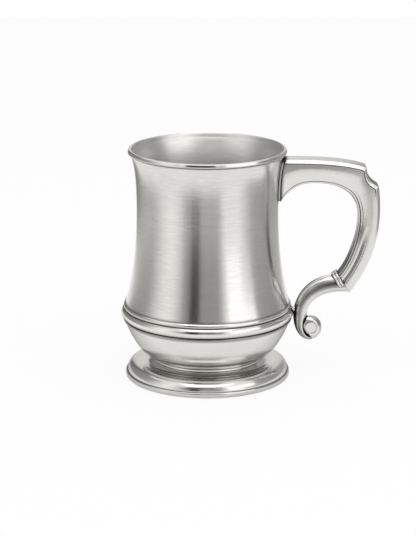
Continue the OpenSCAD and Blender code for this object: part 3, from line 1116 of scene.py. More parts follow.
@dataclass
class Handle:
    """Cast handle: pad, grip with its thumb notch, double ring, scroll and peg.

    Attributes:
        vessel: What it is joined to.
        width: Width of the grip.
        pad_t: Thickness of the pad.
        pad_drop: How far the pad's middle lies below the lip.
        pad_high: Half the pad's height.
        pad_margin: How far the pad stands out beside the grip.
        pad_round: Power of the cosine and sine in the pad's rounded outline.
        collar_r: Radius of the double ring.
        collar_t: Height of the double ring.
        neck_rod: Radius of the scroll's neck inside that ring.
        volute_r: Radius of the volute.
        eye_r: Radius of its eye.
        eye_off: How far the eye lies off the volute's middle, in x and z.
        peg_end: x of the peg's end inside the scroll.
        ROOT: Stations of the arm that may start inside the pad.
        LEAD: Stations of the scroll inside the double ring.
        STEM: Stations of its stem.
    """

    ROOT: ClassVar[int] = 22
    LEAD: ClassVar[int] = 14
    STEM: ClassVar[int] = 91

    vessel: Vessel
    width: float = 13.8
    pad_t: float = 1.2
    pad_drop: float = 17.1
    pad_high: float = 12.3
    pad_margin: float = 0.7
    pad_round: float = 0.45
    collar_r: float = 6.0
    collar_t: float = 3.4
    neck_rod: float = 3.4
    volute_r: float = 7.1
    eye_r: float = 3.0
    eye_off: Pair = (0.7, 0.7)
    peg_end: float = 52.0

    def __post_init__(self) -> None:
        """Set out the contours in the plane y = 0, as (x, z), and the pad's place.

        The back runs over the arm, the notch and the grip, and corner is the back as if it had no notch.
        """
        self.heel, self.throat = np.array([79.6, 48.2]), np.array([72.9, 59.3])
        self.arm_back = [(40.2, 124.5), (56.5, 124.3), (74, 124.5), (87.6, 120)]
        self.notch = [(87.6, 120), (87.7, 115.5), (89.9, 111.3), (94.6, 109.2)]
        self.corner = [(87.6, 120), (91.6, 118.4), (94.4, 114.4), (94.6, 109.2)]
        self.grip_back = [(94.6, 109.2), (96.9, 90), (95.6, 70), tuple(self.heel)]
        self.hollows = [
            [(39, 98), (45, 107), (49.5, 110.6), (58.5, 110.8)],
            [(58.5, 110.8), (74.2, 111), (83.4, 104.8), (83.4, 91)],
            [(83.4, 91), (83.4, 80.3), (78.5, 65.5), tuple(self.throat)],
        ]
        lean = math.atan2(self.heel[0] - self.throat[0], self.throat[1] - self.heel[1])
        self.axis = np.array([math.cos(lean), math.sin(lean)])
        self.neck = self.throat + 4.4 * np.array([math.sin(lean), -math.cos(lean)]) - 0.2 * self.axis
        self.volute = np.array([57.4, 26.7])
        self.peg_z = self.vessel.band_z + 0.6
        self.pad_z = self.vessel.lip_z - self.pad_drop
        self.pad_half = (self.width / 2 + self.pad_margin, self.pad_high)

    def hollow(self, s: np.ndarray) -> np.ndarray:
        """Points of the hollow side, whose three curves run from 0 to 3.

        Args:
            s: Places along them.

        Returns:
            One point (x, z) for each place.
        """
        s = np.asarray(s, float)[..., None]
        first, second, third = (bezier(c, np.clip(s[..., 0] - i, 0, 1)) for i, c in enumerate(self.hollows))
        return np.where(s < 1, first, np.where(s < 2, second, third))

    def pad_face(self, y: np.ndarray, z: np.ndarray, proud: float) -> np.ndarray:
        """x of a face that stands proud of the barrel, at places (y, z)."""
        reach = self.vessel.radius_at(z) + proud
        return np.sqrt(np.maximum(reach**2 - np.asarray(y) ** 2, 0))

    def grip_stations(self) -> np.ndarray:
        """Stations along the grip, with the corners of the notch eased.

        Returns:
            Rows of back x and z, x and z of the back as if it had no notch, hollow place, width share,
            crease, valley, place of the bead and depth of the chamfer.
        """
        t = np.linspace(0, 1, 71)
        one, none = np.ones_like(t), np.zeros_like(t)
        back = bezier(self.arm_back, t)
        hollow = monotone(t, (0, 0.37, 1), (0, 1, 1.5))
        arm = np.column_stack([back, back, hollow, one, one, none, 0.9 * one, 1.75 * one])
        u = np.linspace(0, 1, 37)[1:]
        one, none = np.ones_like(u), np.zeros_like(u)
        notch = np.column_stack(
            [
                bezier(self.notch, u),
                bezier(self.corner, u),
                1.5 + 0.2 * u,
                one,
                one,
                none,
                0.9 - 0.01 * u,
                1.75 + 0.15 * u,
            ]
        )
        v = np.linspace(0, 1, 121)[1:]
        back = bezier(self.grip_back, v)
        grip = np.column_stack(
            [
                back,
                back,
                monotone(v, (0, 0.3, 1), (1.7, 2, 3)),
                1 - 0.2 * v**2,
                np.clip(1 - 7 * v, 0, 1),
                monotone(v, (0, 0.38, 0.62, 1), (0, 0, 1, 1)),
                monotone(v, (0, 0.3, 1), (0.89, 0.89, 0.885)),
                monotone(v, (0, 0.4, 1), (1.9, 1.5, 1.2)),
            ]
        )
        rows = np.concatenate([arm, notch, grip])
        return eased(rows, (len(arm) - 1, len(arm) + len(notch) - 1))

    def grip_section(self, row: np.ndarray) -> tuple[np.ndarray, np.ndarray]:
        """Ring of points round one station of the grip.

        The flank is shaped as if there were no notch, and the chamfer and its crease follow the notch's edge.

        Args:
            row: One of the stations.

        Returns:
            The ring's points and their painted shade.
        """
        back, smooth, (place, wide, crease, valley, bead, chamfer) = row[:2], row[2:4], row[4:]
        front, half = self.hollow(place), wide * self.width / 2
        depth, whole = np.linalg.norm(front - back), np.linalg.norm(front - smooth)
        line = bead * whole - (whole - depth)
        drawn_in = monotone(np.array([bead]), (0.72, 0.8, 0.87, 0.92), (0.845, 0.79, 0.74, 0.69))
        edge = float(drawn_in[0]) + 0.135 * valley
        # The back: a flat with a chamfer, as distance from the back and share of the half width.
        flat = np.array([(0, 0), (0, 0.3), (0.02, 0.62), (0.08, 0.8), (chamfer, 0.99), (chamfer + 1, 0.99)])
        head = softened(flat * [1, half], {3: 0.35, 4: 0.25}, 5)[:-1]
        # The flank: points lie closer in the crease under the chamfer and along the bead's line.
        d = np.concatenate(
            [
                chamfer + np.array([0.2, 0.3, 0.42, 0.55, 0.7, 0.9, 1.15, 1.45, 1.8, 2.2]),
                np.linspace(chamfer + 2.6, line - 0.45, 36),
                line + np.array([-0.32, -0.22, -0.14, -0.07, 0, 0.07, 0.14, 0.22, 0.32, 0.44, 0.58]),
            ]
        )
        share = (d + whole - depth) / whole
        y = half * monotone(
            share,
            (0, 0.2, 0.32, 0.45, 0.6, 0.72, bead, bead + 0.06),
            (0.985, 0.995, 1, 0.975, 0.92, 0.845 + 0.05 * valley, edge, edge - 0.06),
        )
        under, beside, dip = d - chamfer - 0.42, d - line, bell(share, 0.555, 0.065)
        y -= 0.55 * crease * bell(under, 0, 0.3)
        y -= valley * dip + 0.3 * bell(beside, 0, 0.16)
        # The hollow side: a quarter round, then a narrow flat.
        a = np.linspace(0.08, 1, 18) * math.pi / 2
        low = 0.34 * half
        tail = np.column_stack([d[-1] + (depth - d[-1]) * np.sin(a), low + (y[-1] - low) * np.cos(a)])
        tail = np.concatenate([tail, [(depth, 0.6 * low), (depth, 0.0)]])
        # Painted shade: in the notch, in the crease, the valley and the bead's two lines, and on the hollow
        # side.
        fine = float(np.clip((place - 1.5) / 0.3, 0, 1))
        heel = float(np.clip((place - 2.1) / 0.5, 0, 1))
        cut_in = 0.6 * min(1.0, (whole - depth) / 1.5) * (head[:, 0] < 0.3)
        dark = np.maximum.reduce(
            [
                0.95 * crease * bell(under, 0, 0.45),
                0.45 * crease * bell(under, 0, 2.6),
                0.55 * valley * dip,
                (0.4 + 0.55 * fine) * bell(beside, 0, 0.3),
                0.55 * fine * bell(beside, -1.4, 0.28),
            ]
        )
        turned_in = (0.2 + 0.6 * heel) * np.clip((np.arange(len(tail)) - 1) / 4, 0, 1)
        points = np.concatenate([head, np.column_stack([d, y]), tail])
        shade = np.concatenate([cut_in, dark, turned_in])
        return self.ring(back, front, points), self.both(shade)

    @staticmethod
    def ring(back: np.ndarray, front: np.ndarray, section: np.ndarray) -> np.ndarray:
        """Closed ring of points between two contours.

        Args:
            back: Point of the back contour.
            front: Point of the hollow contour.
            section: Half section, as distance from the back and half width.

        Returns:
            Points in space, down the near flank and up the far one.
        """
        middle = back + (front - back) / np.linalg.norm(front - back) * section[:, :1]
        x, z = middle.T
        near, far = (np.column_stack([x, side.value * section[:, 1], z]) for side in Side)
        return np.concatenate([near, far[::-1][1:-1]])

    @staticmethod
    def both(values: np.ndarray) -> np.ndarray:
        """Values of a half section, repeated for the whole ring."""
        return np.concatenate([values, values[::-1][1:-1]])

    def grip(self, material: bpy.types.Material) -> bpy.types.Object:
        """Cast the grip: arm, thumb notch, grip and heel.

        Args:
            material: Its finish.

        Returns:
            The piece.
        """
        rings, shades = zip(*(self.grip_section(row) for row in self.grip_stations()))
        body, shade = np.array(rings), np.array(shades)
        for j in range(body.shape[1]):
            body[: self.ROOT + 1, j] = self.from_pad(body[: self.ROOT + 1, j])
        # Painted shade on the arm where it meets the pad.
        seam = body[:, :, 0] - self.pad_face(body[:, :, 1], body[:, :, 2], self.pad_t)
        shade = np.maximum(shade, 0.98 * bell(np.maximum(seam, 0), 0, 1.1))
        skin = Skin()
        skin.loft(body, shade)
        return settled("grip_casting", skin.mesh(material), "handle_grip", 120)

    def from_pad(self, line: np.ndarray) -> np.ndarray:
        """Start a line of the arm on the pad, instead of inside the barrel.

        Args:
            line: Points from inside the barrel outwards.

        Returns:
            As many points, from just under the pad's face to the same end.
        """
        out = line[:, 0] - self.pad_face(line[:, 1], line[:, 2], self.pad_t - 0.2)
        k = int(np.argmax(out > 0))
        start = k - out[k] / (out[k] - out[k - 1]) if k else 0.0
        places = np.linspace(start, len(line) - 1, len(line))
        return np.column_stack([np.interp(places, np.arange(len(line)), line[:, c]) for c in range(3)])

    def pad(self, material: bpy.types.Material) -> bpy.types.Object:
        """Cast the thin plate, bent to the barrel, that carries the arm.

        Args:
            material: Its finish.

        Returns:
            The piece.
        """
        half_w, half_h = self.pad_half
        a = np.radians(np.arange(0, 360, 2.5))
        round_y = half_w * np.sign(np.cos(a)) * np.abs(np.cos(a)) ** self.pad_round
        round_z = half_h * np.sign(np.sin(a)) * np.abs(np.sin(a)) ** self.pad_round

        def outline(share: float, proud: float) -> np.ndarray:
            """The plate's outline at a share of its size, on a face that stands proud of the barrel."""
            y, z = round_y * share, self.pad_z + round_z * share
            return np.column_stack([self.pad_face(y, z, proud), y, z])

        # Share of the size and share of the thickness, up the edge and then over the face.
        steps = [(1.0, -0.2), (1.0, 0.1), (1.0, 0.35), (0.999, 0.6)]
        steps += [(0.993, 0.8), (0.985, 0.92), (0.97, 1.0), (0.95, 1.0)]
        steps += [(s, 1.0) for s in np.linspace(0.9, 0.06, 15)]
        rings, shades = [], []
        for share, proud in steps:
            rings.append(outline(share, proud * self.pad_t))
            # Painted shade along the seam, round the face's border and towards the lip, over a darker tone on
            # the whole plate.
            border = min((0.995 - share) / 0.015, 1.0) * (share > 0.88)
            edge = max(0.97 * (1 - proud / 0.9), 0.97 * border, 0.38)
            shades.append(np.maximum(edge, 0.95 * np.clip((round_z * share - 0.62 * half_h) / 3, 0, 1)))
        inner = [outline(s, -0.2) for s in np.linspace(0.06, 0.9, 8)]
        skin = Skin()
        skin.loft(np.array(inner + rings), np.array([shades[0]] * len(inner) + shades))
        return settled("arm_pad", skin.mesh(material), "handle_pad")

    def seam_on(self, barrel: bpy.types.Mesh) -> None:
        """Darken the barrel along the soldered edge of the pad: a dark seam, with painted shade where the pad
        meets the barrel.

        Args:
            barrel: The barrel's mesh, whose patina is changed in place.
        """
        x, y, z = values_of(barrel.vertices, "co", 3).T / MM
        half_w, half_h = self.pad_half
        power = 2 / self.pad_round
        share = (np.abs(y / half_w) ** power + np.abs((z - self.pad_z) / half_h) ** power) ** (1 / power)
        away = np.maximum((share - 1) * half_w, 0)
        outside = np.hypot(x, y) > self.vessel.radius_at(z) - self.vessel.wall / 2
        dark = 0.97 * bell(away, 0, 1.4) * outside * (x > 0)
        stored = barrel.attributes[SHADE_AND_PATINA].data
        stored.foreach_set("value", np.maximum(values_of(stored, "value"), dark))

    def about_neck(self, mesh: bpy.types.Mesh) -> bpy.types.Mesh:
        """Move a mesh that was turned about Z on to the axis of the scroll's neck.

        Args:
            mesh: The turned mesh.

        Returns:
            The same mesh.
        """
        way = Vector((self.axis[0], 0, self.axis[1]))
        turn = Vector((0, 0, 1)).rotation_difference(way).to_matrix().to_4x4()
        mesh.transform(Matrix.Translation((self.neck[0] * MM, 0, self.neck[1] * MM)) @ turn)
        return mesh

    def double_ring(self, lathe: Lathe, material: bpy.types.Material) -> bpy.types.Object:
        """Turn the double ring between grip and scroll.

        Args:
            lathe: The lathe.
            material: Its finish.

        Returns:
            The piece.
        """
        bead = self.collar_t / 2 + 0.1
        middle = self.collar_r - bead / 2
        low, high = (middle, bead / 2 - self.collar_t), (middle, -bead / 2)
        waist = meeting(low, bead / 2, high, bead / 2)
        groove = (waist[0] - 0.35, waist[1])
        outline = np.concatenate(
            [
                [(self.neck_rod, -self.collar_t), (middle, -self.collar_t)],
                arc(low, bead / 2, -90, angle_of(waist, low) - 6, 20),
                [groove],
                arc(high, bead / 2, angle_of(waist, high) + 6, 90, 20),
                [(self.neck_rod, 0), (self.neck_rod, -self.collar_t)],
            ]
        )
        # Painted shade in the groove between the two rings and at their ends.
        grooves = [
            Groove(groove, 0.45, 1.0),
            Groove((middle, 0), 0.7, 0.95),
            Groove((middle, -self.collar_t), 0.7, 0.95),
        ]
        mesh = self.about_neck(lathe.turn(outline, grooves, material, 0.25))
        return settled("double_ring", mesh, "handle_collar")

    def scroll_stations(self) -> np.ndarray:
        """Stations along the scroll, from the heel round to the volute.

        Returns:
            Rows of back x and z, front x and z, and share of the width.
        """
        stem_back = [tuple(self.heel), (65, 49.4), (56.3, 43.4), (56, 35)]
        start = self.throat - (self.collar_t - 0.3) * self.axis
        stem_front = [tuple(start), (57.2, 56.6), (47.8, 46), (48.3, 33)]
        curl_back = [(56, 35), (53.5, 30), (53.6, 23), (58.2, 21.7)]
        under = self.volute - [0, self.volute_r]
        curl_front = [(48.3, 33), (48.8, 25.5), tuple(under - [5.3, 0]), tuple(under)]
        t = np.linspace(0, 1, self.STEM)
        stem = np.column_stack([bezier(stem_back, 0.11 + 0.89 * t), bezier(stem_front, t), 1 - 0.3 * t])
        first = np.array([*self.heel, *self.throat, 1.0])
        lead = first + (stem[0] - first) * np.linspace(0, 1, self.LEAD + 1)[:-1, None]
        u = np.linspace(0, 1, 61)[1:]
        wide = monotone(u, (0, 0.5, 1), (0.7, 0.64, 0.44))
        curl = np.column_stack([bezier(curl_back, u), bezier(curl_front, u), wide])
        return np.concatenate([lead, stem, curl])

    @staticmethod
    def scroll_section() -> tuple[np.ndarray, np.ndarray]:
        """Half section of the scroll, from the middle of its back to the middle of its upper side.

        Returns:
            Points (share of depth, share of half width), and painted shade along the middle of the flank.
        """
        corners = np.array([(0, 0), (0, 0.25), (0.01, 0.52), (0.25, 1), (0.4, 0.97)])
        back = softened(corners, {2: 0.05, 3: 0.06})[:-1]
        share = np.linspace(0.3, 0.77, 24)
        flank = monotone(share, (0.25, 0.4, 0.55, 0.68, 0.8), (1, 0.965, 0.9, 0.81, 0.69))
        upper = np.column_stack(
            [
                (0.8, 0.825, 0.85, 0.88, 0.92, 0.955, 0.98, 0.995, 1),
                (0.69, 0.66, 0.625, 0.57, 0.49, 0.36, 0.22, 0.1, 0),
            ]
        )
        points = np.concatenate([back, np.column_stack([share, flank]), upper])
        return points, 0.55 * bell(points[:, 0], 0.56, 0.17)

    def scroll(self, material: bpy.types.Material) -> bpy.types.Object:
        """Cast the lower scroll with its volute.

        Args:
            material: Its finish.

        Returns:
            The piece.
        """
        section, dark = self.scroll_section()
        half = 0.78 * self.width / 2
        rings = []
        for bx, bz, fx, fz, share in self.scroll_stations():
            back, front = np.array([bx, bz]), np.array([fx, fz])
            rings.append(self.ring(back, front, section * [np.linalg.norm(front - back), share * half]))
        body = np.array(rings)
        self.inside_ring(body)
        # Painted shade, by depth in the section and by stations past the double ring.
        depth, past = self.both(section[:, 0]), np.arange(len(body))[:, None] - self.LEAD
        beside_ring = bell(np.maximum(past, 0), 0, 30)
        curled = np.clip((past - self.STEM + 9) / 10, 0, 1)
        flank = self.both(dark) * (1 + 0.6 * beside_ring)
        rib = 0.55 * bell(depth, 0.8, 0.02) * np.clip((past - 6) / 20, 0, 1) * (1 - curled)
        contour = 0.75 * bell(depth, 1, 0.025) * np.clip((past - 10) / 20, 0, 1)
        behind = 0.95 * curled * bell(depth, 0, 0.05)
        # Painted shade close to the band and the bowl, where the stem's front lies in their shadow.
        high = body[:, :, 2]
        edge = np.interp(high, (18, 22, 30, 45), (0.94, 0.88, 0.7, 0.7))
        close = 0.95 * np.clip((depth - edge) / 0.12, 0, 1) * np.clip((44 - high) / 5, 0, 1)
        skin = Skin()
        skin.loft(body, np.maximum.reduce([flank, rib, contour, behind, close]))
        self.volute_disc(skin)
        return settled("scroll_casting", skin.mesh(material), "handle_scroll", 120)

    def inside_ring(self, body: np.ndarray) -> None:
        """Draw the scroll's upper end in, so that it passes through the double ring.

        Args:
            body: Rings of the scroll, which are changed in place.
        """
        away = body[:, :, [0, 2]] - self.neck
        along = away @ self.axis
        cross = away - along[..., None] * self.axis
        radius = np.sqrt((cross**2).sum(-1) + body[:, :, 1] ** 2)
        held = (along > -self.collar_t + 0.05) & (radius < self.collar_r + 0.05) & (radius > self.neck_rod)
        share = np.where(held, self.neck_rod / np.maximum(radius, 1e-6), 1.0)
        inner = self.neck + along[..., None] * self.axis + cross * share[..., None]
        body[:, :, 0], body[:, :, 2] = inner[..., 0], inner[..., 1]
        body[:, :, 1] *= share

    def volute_disc(self, skin: Skin) -> None:
        """Add the round end of the scroll: a flat raised eye, in a moat that is deep beside the stem.

        Args:
            skin: The scroll's skin.
        """
        eye = self.eye_r
        reach = np.concatenate(
            [
                np.linspace(0.02, eye - 0.05, 8),
                np.linspace(eye, eye + 0.9, 16),
                np.linspace(eye + 1.05, self.volute_r, 36),
            ]
        )
        knots = (0, eye - 0.02, eye + 0.08, eye + 0.32, eye + 0.85, 4.8, 5.9, 6.7, self.volute_r)
        plain = monotone(reach, knots, (3.4, 3.4, 3.3, 2.8, 3.1, 2.75, 2.1, 1.3, 0.0))[:, None]
        # The crease beside the stem, by its angle round the eye and its distance from the eye's middle.
        a = np.radians(np.arange(0, 360, 2.5))
        turn = np.degrees(a)
        angles = (100, 108, 117, 143, 173, 209, 250, 271, 284)
        crease = monotone(turn, angles, (6.8, 6.1, 5.3, 4.6, 4.15, 3.8, 4.1, 5.1, 5.9))
        along = np.clip((turn - angles[0]) / 8, 0, 1) * np.clip((angles[-1] - turn) / 12, 0, 1)
        beyond = reach[:, None] - crease
        height = plain + (1.0 - plain) * along * np.clip(beyond / 0.35, 0, 1) * (plain > 1)
        # Painted shade round the eye, most of all above it, in the crease, and softly on the rim opposite the
        # stem.
        spot = bell(reach, eye + 0.25, 0.22)[:, None] * (0.1 + 0.7 * bell(turn, 105, 45))
        dark = along * np.where(beyond > 0, 1, bell(beyond, 0, 0.3))
        rim_shade = bell((turn + 180) % 360, 215, 55) * bell(reach[:, None], 5.8, 0.9)
        shade = np.maximum.reduce([spot, 0.5 * rim_shade, 0.97 * dark])
        shift = monotone(reach, (0, eye + 0.9, self.volute_r - 0.4, self.volute_r), (1, 1, 0, 0))[:, None]
        x = self.volute[0] + self.eye_off[0] * shift + reach[:, None] * np.cos(a)
        z = self.volute[1] + self.eye_off[1] * shift + reach[:, None] * np.sin(a)
        near, far = (np.stack([x, side.value * height, z], -1) for side in Side)
        skin.loft(np.concatenate([near, far[::-1][1:]]), np.concatenate([shade, shade[::-1][1:]]))

    def peg(self, material: bpy.types.Material) -> bpy.types.Object:
        """Cast the short peg with its ball, between scroll and band.

        Args:
            material: Its finish.

        Returns:
            The piece.
        """
        ball, rod, radius = self.vessel.belly_r + 0.4, 1.1, 1.5
        a = np.radians(np.linspace(0, 180, 25))
        x = ball - radius * np.cos(a)
        r = np.maximum(radius * np.sin(a), rod)
        x = np.concatenate([[self.vessel.seat_r + 1.2], x, [self.peg_end]])
        r = np.concatenate([[rod], r, [rod]])
        b = np.radians(np.arange(0, 360, 7.5))
        y, z = r[:, None] * np.cos(b), self.peg_z + r[:, None] * np.sin(b)
        rings = np.stack([np.broadcast_to(x[:, None], y.shape), y, z], -1)
        # Painted shade where the ball meets the rod on either side.
        dark = 0.85 * bell(np.abs(x - ball), radius, 0.35)
        skin = Skin()
        skin.loft(rings, dark[:, None] * np.ones(len(b)))
        return settled("band_peg", skin.mesh(material), "handle_peg")


# Studio


@dataclass(frozen=True)
class Tent:
    """Grey cloth wall on the table that glows with painted light and shade, which gives the metal something
    darker than the white room to show.

    It stands all round the object but for a window on the right, where the softbox looks in.

    Attributes:
        high: Height of its upper edge in metres.
        knots: Bearings in degrees from the camera, seen from the object, with the cloth's painted tone, which
            is 1
        for the room's white, and its distance from the axis in metres.
        hem: Heights in metres with the share of painted light from the table's white that the cloth's foot
            shows there.
        lows: First and last bearing, and height in metres, of its lower parts: one in front, where the lens
            looks over it, and two steps beside the window on the right.
        ramp: Degrees over which its edge comes down to a lower part.
        columns: Points along its edge.
        glow: Linear red, green and blue of the cloth's glow at a tone of 1.
    """

    high: float = 0.36
    hem: tuple[Pair, ...] = ((0.0, 0.45), (0.008, 0.28), (0.018, 0.13), (0.032, 0.04), (0.05, 0.0))
    lows: tuple[Triple, ...] = ((316.0, 380.0, 0.155), (39.0, 74.0, 0.06), (66.0, 90.0, 0.23))
    ramp: float = 8.0
    columns: int = 640
    glow: Triple = (1.0, 0.995, 0.98)
    knots: tuple[Triple, ...] = (
        (48, 1.00, 0.26),
        (54, 0.82, 0.26),
        (60, 0.64, 0.26),
        (68, 0.5, 0.26),
        (77, 0.4, 0.27),
        (90, 0.37, 0.28),
        (105, 0.33, 0.28),
        (120, 0.43, 0.28),
        (148, 0.40, 0.30),
        (162, 0.72, 0.32),
        (180, 0.80, 0.34),
        (198, 0.72, 0.34),
        (203, 0.45, 0.34),
        (207, 0.17, 0.34),
        (212, 0.16, 0.34),
        (220, 0.27, 0.34),
        (235, 0.29, 0.36),
        (251, 0.33, 0.36),
        (267, 0.4, 0.35),
        (281, 0.67, 0.35),
        (292, 0.94, 0.35),
        (303, 1.06, 0.35),
        (312, 0.95, 0.35),
        (322, 0.66, 0.32),
        (329, 0.34, 0.32),
        (335.5, 0.25, 0.32),
        (337, 0.04, 0.32),
        (348, 0.04, 0.32),
        (349.5, 0.3, 0.32),
        (355, 0.36, 0.32),
        (363, 0.36, 0.32),
        (373, 0.35, 0.32),
        (378, 0.5, 0.32),
        (383, 0.83, 0.35),
        (388, 1.05, 0.35),
    )


@dataclass(frozen=True)
class Table:
    """White table top under the tankard.

    Attributes:
        front: How far it reaches towards the camera, in metres from the axis.
        side: How far it reaches to either side.
        back: How far it reaches behind.
        colour: Its colour.
        seen: Share of plain white that the camera sees. The rest is shaded, so that a faint shadow stays.
        bounced: The same share for the metal.
        painted_shadow_at: Middle of the painted shadow on the table behind the tankard, which the metal sees.
        pool: Distances from that middle where the painted shadow starts to fade, and where it has faded.
        painted_shadow_level: How bright the painted shadow is in its middle, from 0 to 1.
    """

    front: float = 0.43
    side: float = 1.1
    back: float = 1.4
    colour: str = "#F4F4F3"
    seen: float = 0.88
    bounced: float = 0.8
    painted_shadow_at: Triple = (0.0, 0.09, 0.0)
    pool: Pair = (0.06, 0.13)
    painted_shadow_level: float = 0.12


@dataclass(frozen=True)
class Flag:
    """Sheet of black velvet that faces the object, for the metal to show as a dark line.

    Attributes:
        bearing: Where it hangs, in degrees from the camera, seen from the object.
        height: Height of its middle in metres.
        away: Its distance from the axis in metres.
        size: Its width and height in metres.
        colour: Its colour.
    """

    bearing: float = 350.0
    height: float = 0.76
    away: float = 1.25
    size: Pair = (1.0, 0.36)
    colour: str = "#101010"


@dataclass(frozen=True)
class Softbox:
    """A studio lamp with a broad white front.

    Attributes:
        name: Its name.
        bearing: Where it stands, in degrees from the camera, seen from the object.
        height: Height of its middle in metres.
        away: Its distance from the axis in metres.
        size: Width and height of its front in metres.
        watts: Its power.
    """

    name: str
    bearing: float
    height: float
    away: float
    size: Pair
    watts: float


@dataclass
class Studio:
    """White room with a table, a grey tent that glows with painted light, a black flag, soft lamps and the
    camera.

    Attributes:
        camera_at: Place of the camera in metres.
        aim: What the camera looks at.
        focal_px: Its focal length in the photograph's pixels.
        lamp_aim: Height in metres that the lamps and the flag face.
        ambient: Light of the room, where the room itself isn't seen.
        table: The table.
        tent: The tent.
        flag: The flag.
        lamps: The lamps.
    """

    camera_at: Triple = (0.0, -1.0602, 0.3545)
    aim: Triple = (0.0003, 0.0, 0.0613)
    focal_px: float = 1965.0
    lamp_aim: float = 0.07
    ambient: float = 0.85
    table: Table = Table()
    tent: Tent = Tent()
    flag: Flag = Flag()
    lamps: tuple[Softbox, ...] = (
        Softbox("overhead softbox", 0, 1.4, 0.4, (1.2, 1.0), 4.6),
        Softbox("right softbox", 50, 0.4, 1.15, (1.0, 1.0), 1.4),
    )

    @staticmethod
    def bearing(degrees: float) -> Vector:
        """Level direction from the object, 0 towards the camera and positive to its right."""
        a = math.radians(degrees)
        return Vector((math.sin(a), -math.cos(a), 0))

    @staticmethod
    def shows_backdrop(tree: bpy.types.NodeTree) -> bpy.types.Node:
        """1 for rays that should see the white backdrop: the camera's, and those of metal and glass.

        Args:
            tree: The tree that needs it.

        Returns:
            The node that gives the value.
        """
        path = add(tree, "ShaderNodeLightPath").outputs
        eye = {0: path["Is Camera Ray"], 1: path["Is Glossy Ray"]}
        seen = add(tree, "ShaderNodeMath", eye, operation="MAXIMUM")
        through = {0: seen, 1: path["Is Transmission Ray"]}
        return add(tree, "ShaderNodeMath", through, operation="MAXIMUM")

    def hang(self, thing: bpy.types.Object, holder: Softbox | Flag) -> None:
        """Hang a lamp or a flag in its place, facing the tankard.

        Args:
            thing: The lamp or flag.
            holder: What says where it hangs.
        """
        place = self.bearing(holder.bearing) * holder.away + Vector((0, 0, holder.height))
        thing.location = place
        thing.rotation_euler = facing(place, Vector((0, 0, self.lamp_aim)))
        bpy.context.scene.collection.objects.link(thing)

    @staticmethod
    def hide(thing: bpy.types.Object) -> None:
        """Leave a part of the stage for the metal alone to see."""
        thing.visible_camera = thing.visible_diffuse = thing.visible_shadow = False

    def build_world(self) -> None:
        """Set up the white room.

        It is full white where it is seen, and a plain level of light elsewhere.
        """
        world = bpy.data.worlds.new("white room")
        world.use_nodes = True
        tree = world.node_tree
        tree.nodes.clear()
        seen = self.shows_backdrop(tree)
        level = add(tree, "ShaderNodeMapRange", {"Value": seen, 1: 0.0, 2: 1.0, 3: self.ambient, 4: 1.0})
        room = add(tree, "ShaderNodeBackground", {"Color": linear(WHITE), "Strength": level})
        add(tree, "ShaderNodeOutputWorld", {"Surface": room})
        bpy.context.scene.world = world

    def build_floor(self) -> None:
        """White table top that keeps a faint shadow.

        The camera and the metal see it mostly as plain white, and the rest of it is lit and shadowed.
        """
        table, mesh = self.table, bpy.data.meshes.new("table top")
        sides, depths = (-table.side, table.side), (-table.front, table.back)
        mesh.from_pydata([(x, y, 0) for y in depths for x in sides], [], [(0, 1, 3, 2)])
        # Matt white card: bright and even, without gloss.
        made, tree = blank_material("matt white card")
        path = add(tree, "ShaderNodeLightPath").outputs
        seen, metal = path["Is Camera Ray"], {0: path["Is Glossy Ray"], 1: path["Is Transmission Ray"]}
        bounced = add(tree, "ShaderNodeMath", metal, operation="MAXIMUM")
        shown = add(tree, "ShaderNodeMath", {0: seen, 1: table.seen}, operation="MULTIPLY")
        plain = {0: bounced, 1: table.bounced, 2: shown}
        share = add(tree, "ShaderNodeMath", plain, operation="MULTIPLY_ADD")
        # Painted shadow: the light comes from the front, so the metal sees a grey patch of shade painted on
        # the table behind the tankard.
        place = add(tree, "ShaderNodeTexCoord").outputs["Object"]
        away = add(tree, "ShaderNodeVectorMath", {0: place, 1: table.painted_shadow_at}, operation="DISTANCE")
        near, far = table.pool
        pool = {"Value": away.outputs["Value"], 1: near, 2: far, 3: table.painted_shadow_level, 4: 1.0}
        lit = add(tree, "ShaderNodeMapRange", pool)
        level = add(tree, "ShaderNodeMath", {0: lit, 1: seen}, operation="MAXIMUM")
        matt = add(tree, "ShaderNodeBsdfDiffuse", {"Color": linear(table.colour)})
        glow = add(tree, "ShaderNodeEmission", {"Color": linear(WHITE), "Strength": level})
        mixed = add(tree, "ShaderNodeMixShader", {0: share, 1: matt, 2: glow})
        add(tree, "ShaderNodeOutputMaterial", {"Surface": mixed})
        mesh.materials.append(made)
        floor = bpy.data.objects.new("table_top", mesh)
        bpy.context.scene.collection.objects.link(floor)

    def build_tent(self) -> None:
        """Stand the tent's wall round the object, where only the metal sees it.

        Its rows of points follow the hem's heights, where painted light from the table's white brightens the
        cloth, and then its edge.
        """
        tent = self.tent
        bearings, levels, reaches = (list(v) for v in zip(*tent.knots))
        turn = np.linspace(bearings[0], bearings[-1], tent.columns)
        tone, reach = monotone(turn, bearings, levels), monotone(turn, bearings, reaches)
        top = np.full_like(turn, tent.high)
        for left, right, low in tent.lows:
            across = np.clip((turn - left) / tent.ramp, 0, 1) * np.clip((right - turn) / tent.ramp, 0, 1)
            top -= (tent.high - low) * across
        rows = [(np.full_like(turn, height), tone + (1 - tone) * share) for height, share in tent.hem]
        rows.append((top, tone))
        points = [
            self.bearing(degrees) * away + Vector((0, 0, height))
            for heights, _ in rows
            for degrees, away, height in zip(turn, reach, heights)
        ]
        n = len(turn)
        mesh = bpy.data.meshes.new("tent wall")
        starts = [k * n + i for k in range(len(rows) - 1) for i in range(n - 1)]
        mesh.from_pydata(points, [], [(i, i + 1, i + n + 1, i + n) for i in starts])
        stored = mesh.attributes.new("tone", "FLOAT", "POINT")
        stored.data.foreach_set("value", np.concatenate([tones for _, tones in rows]))
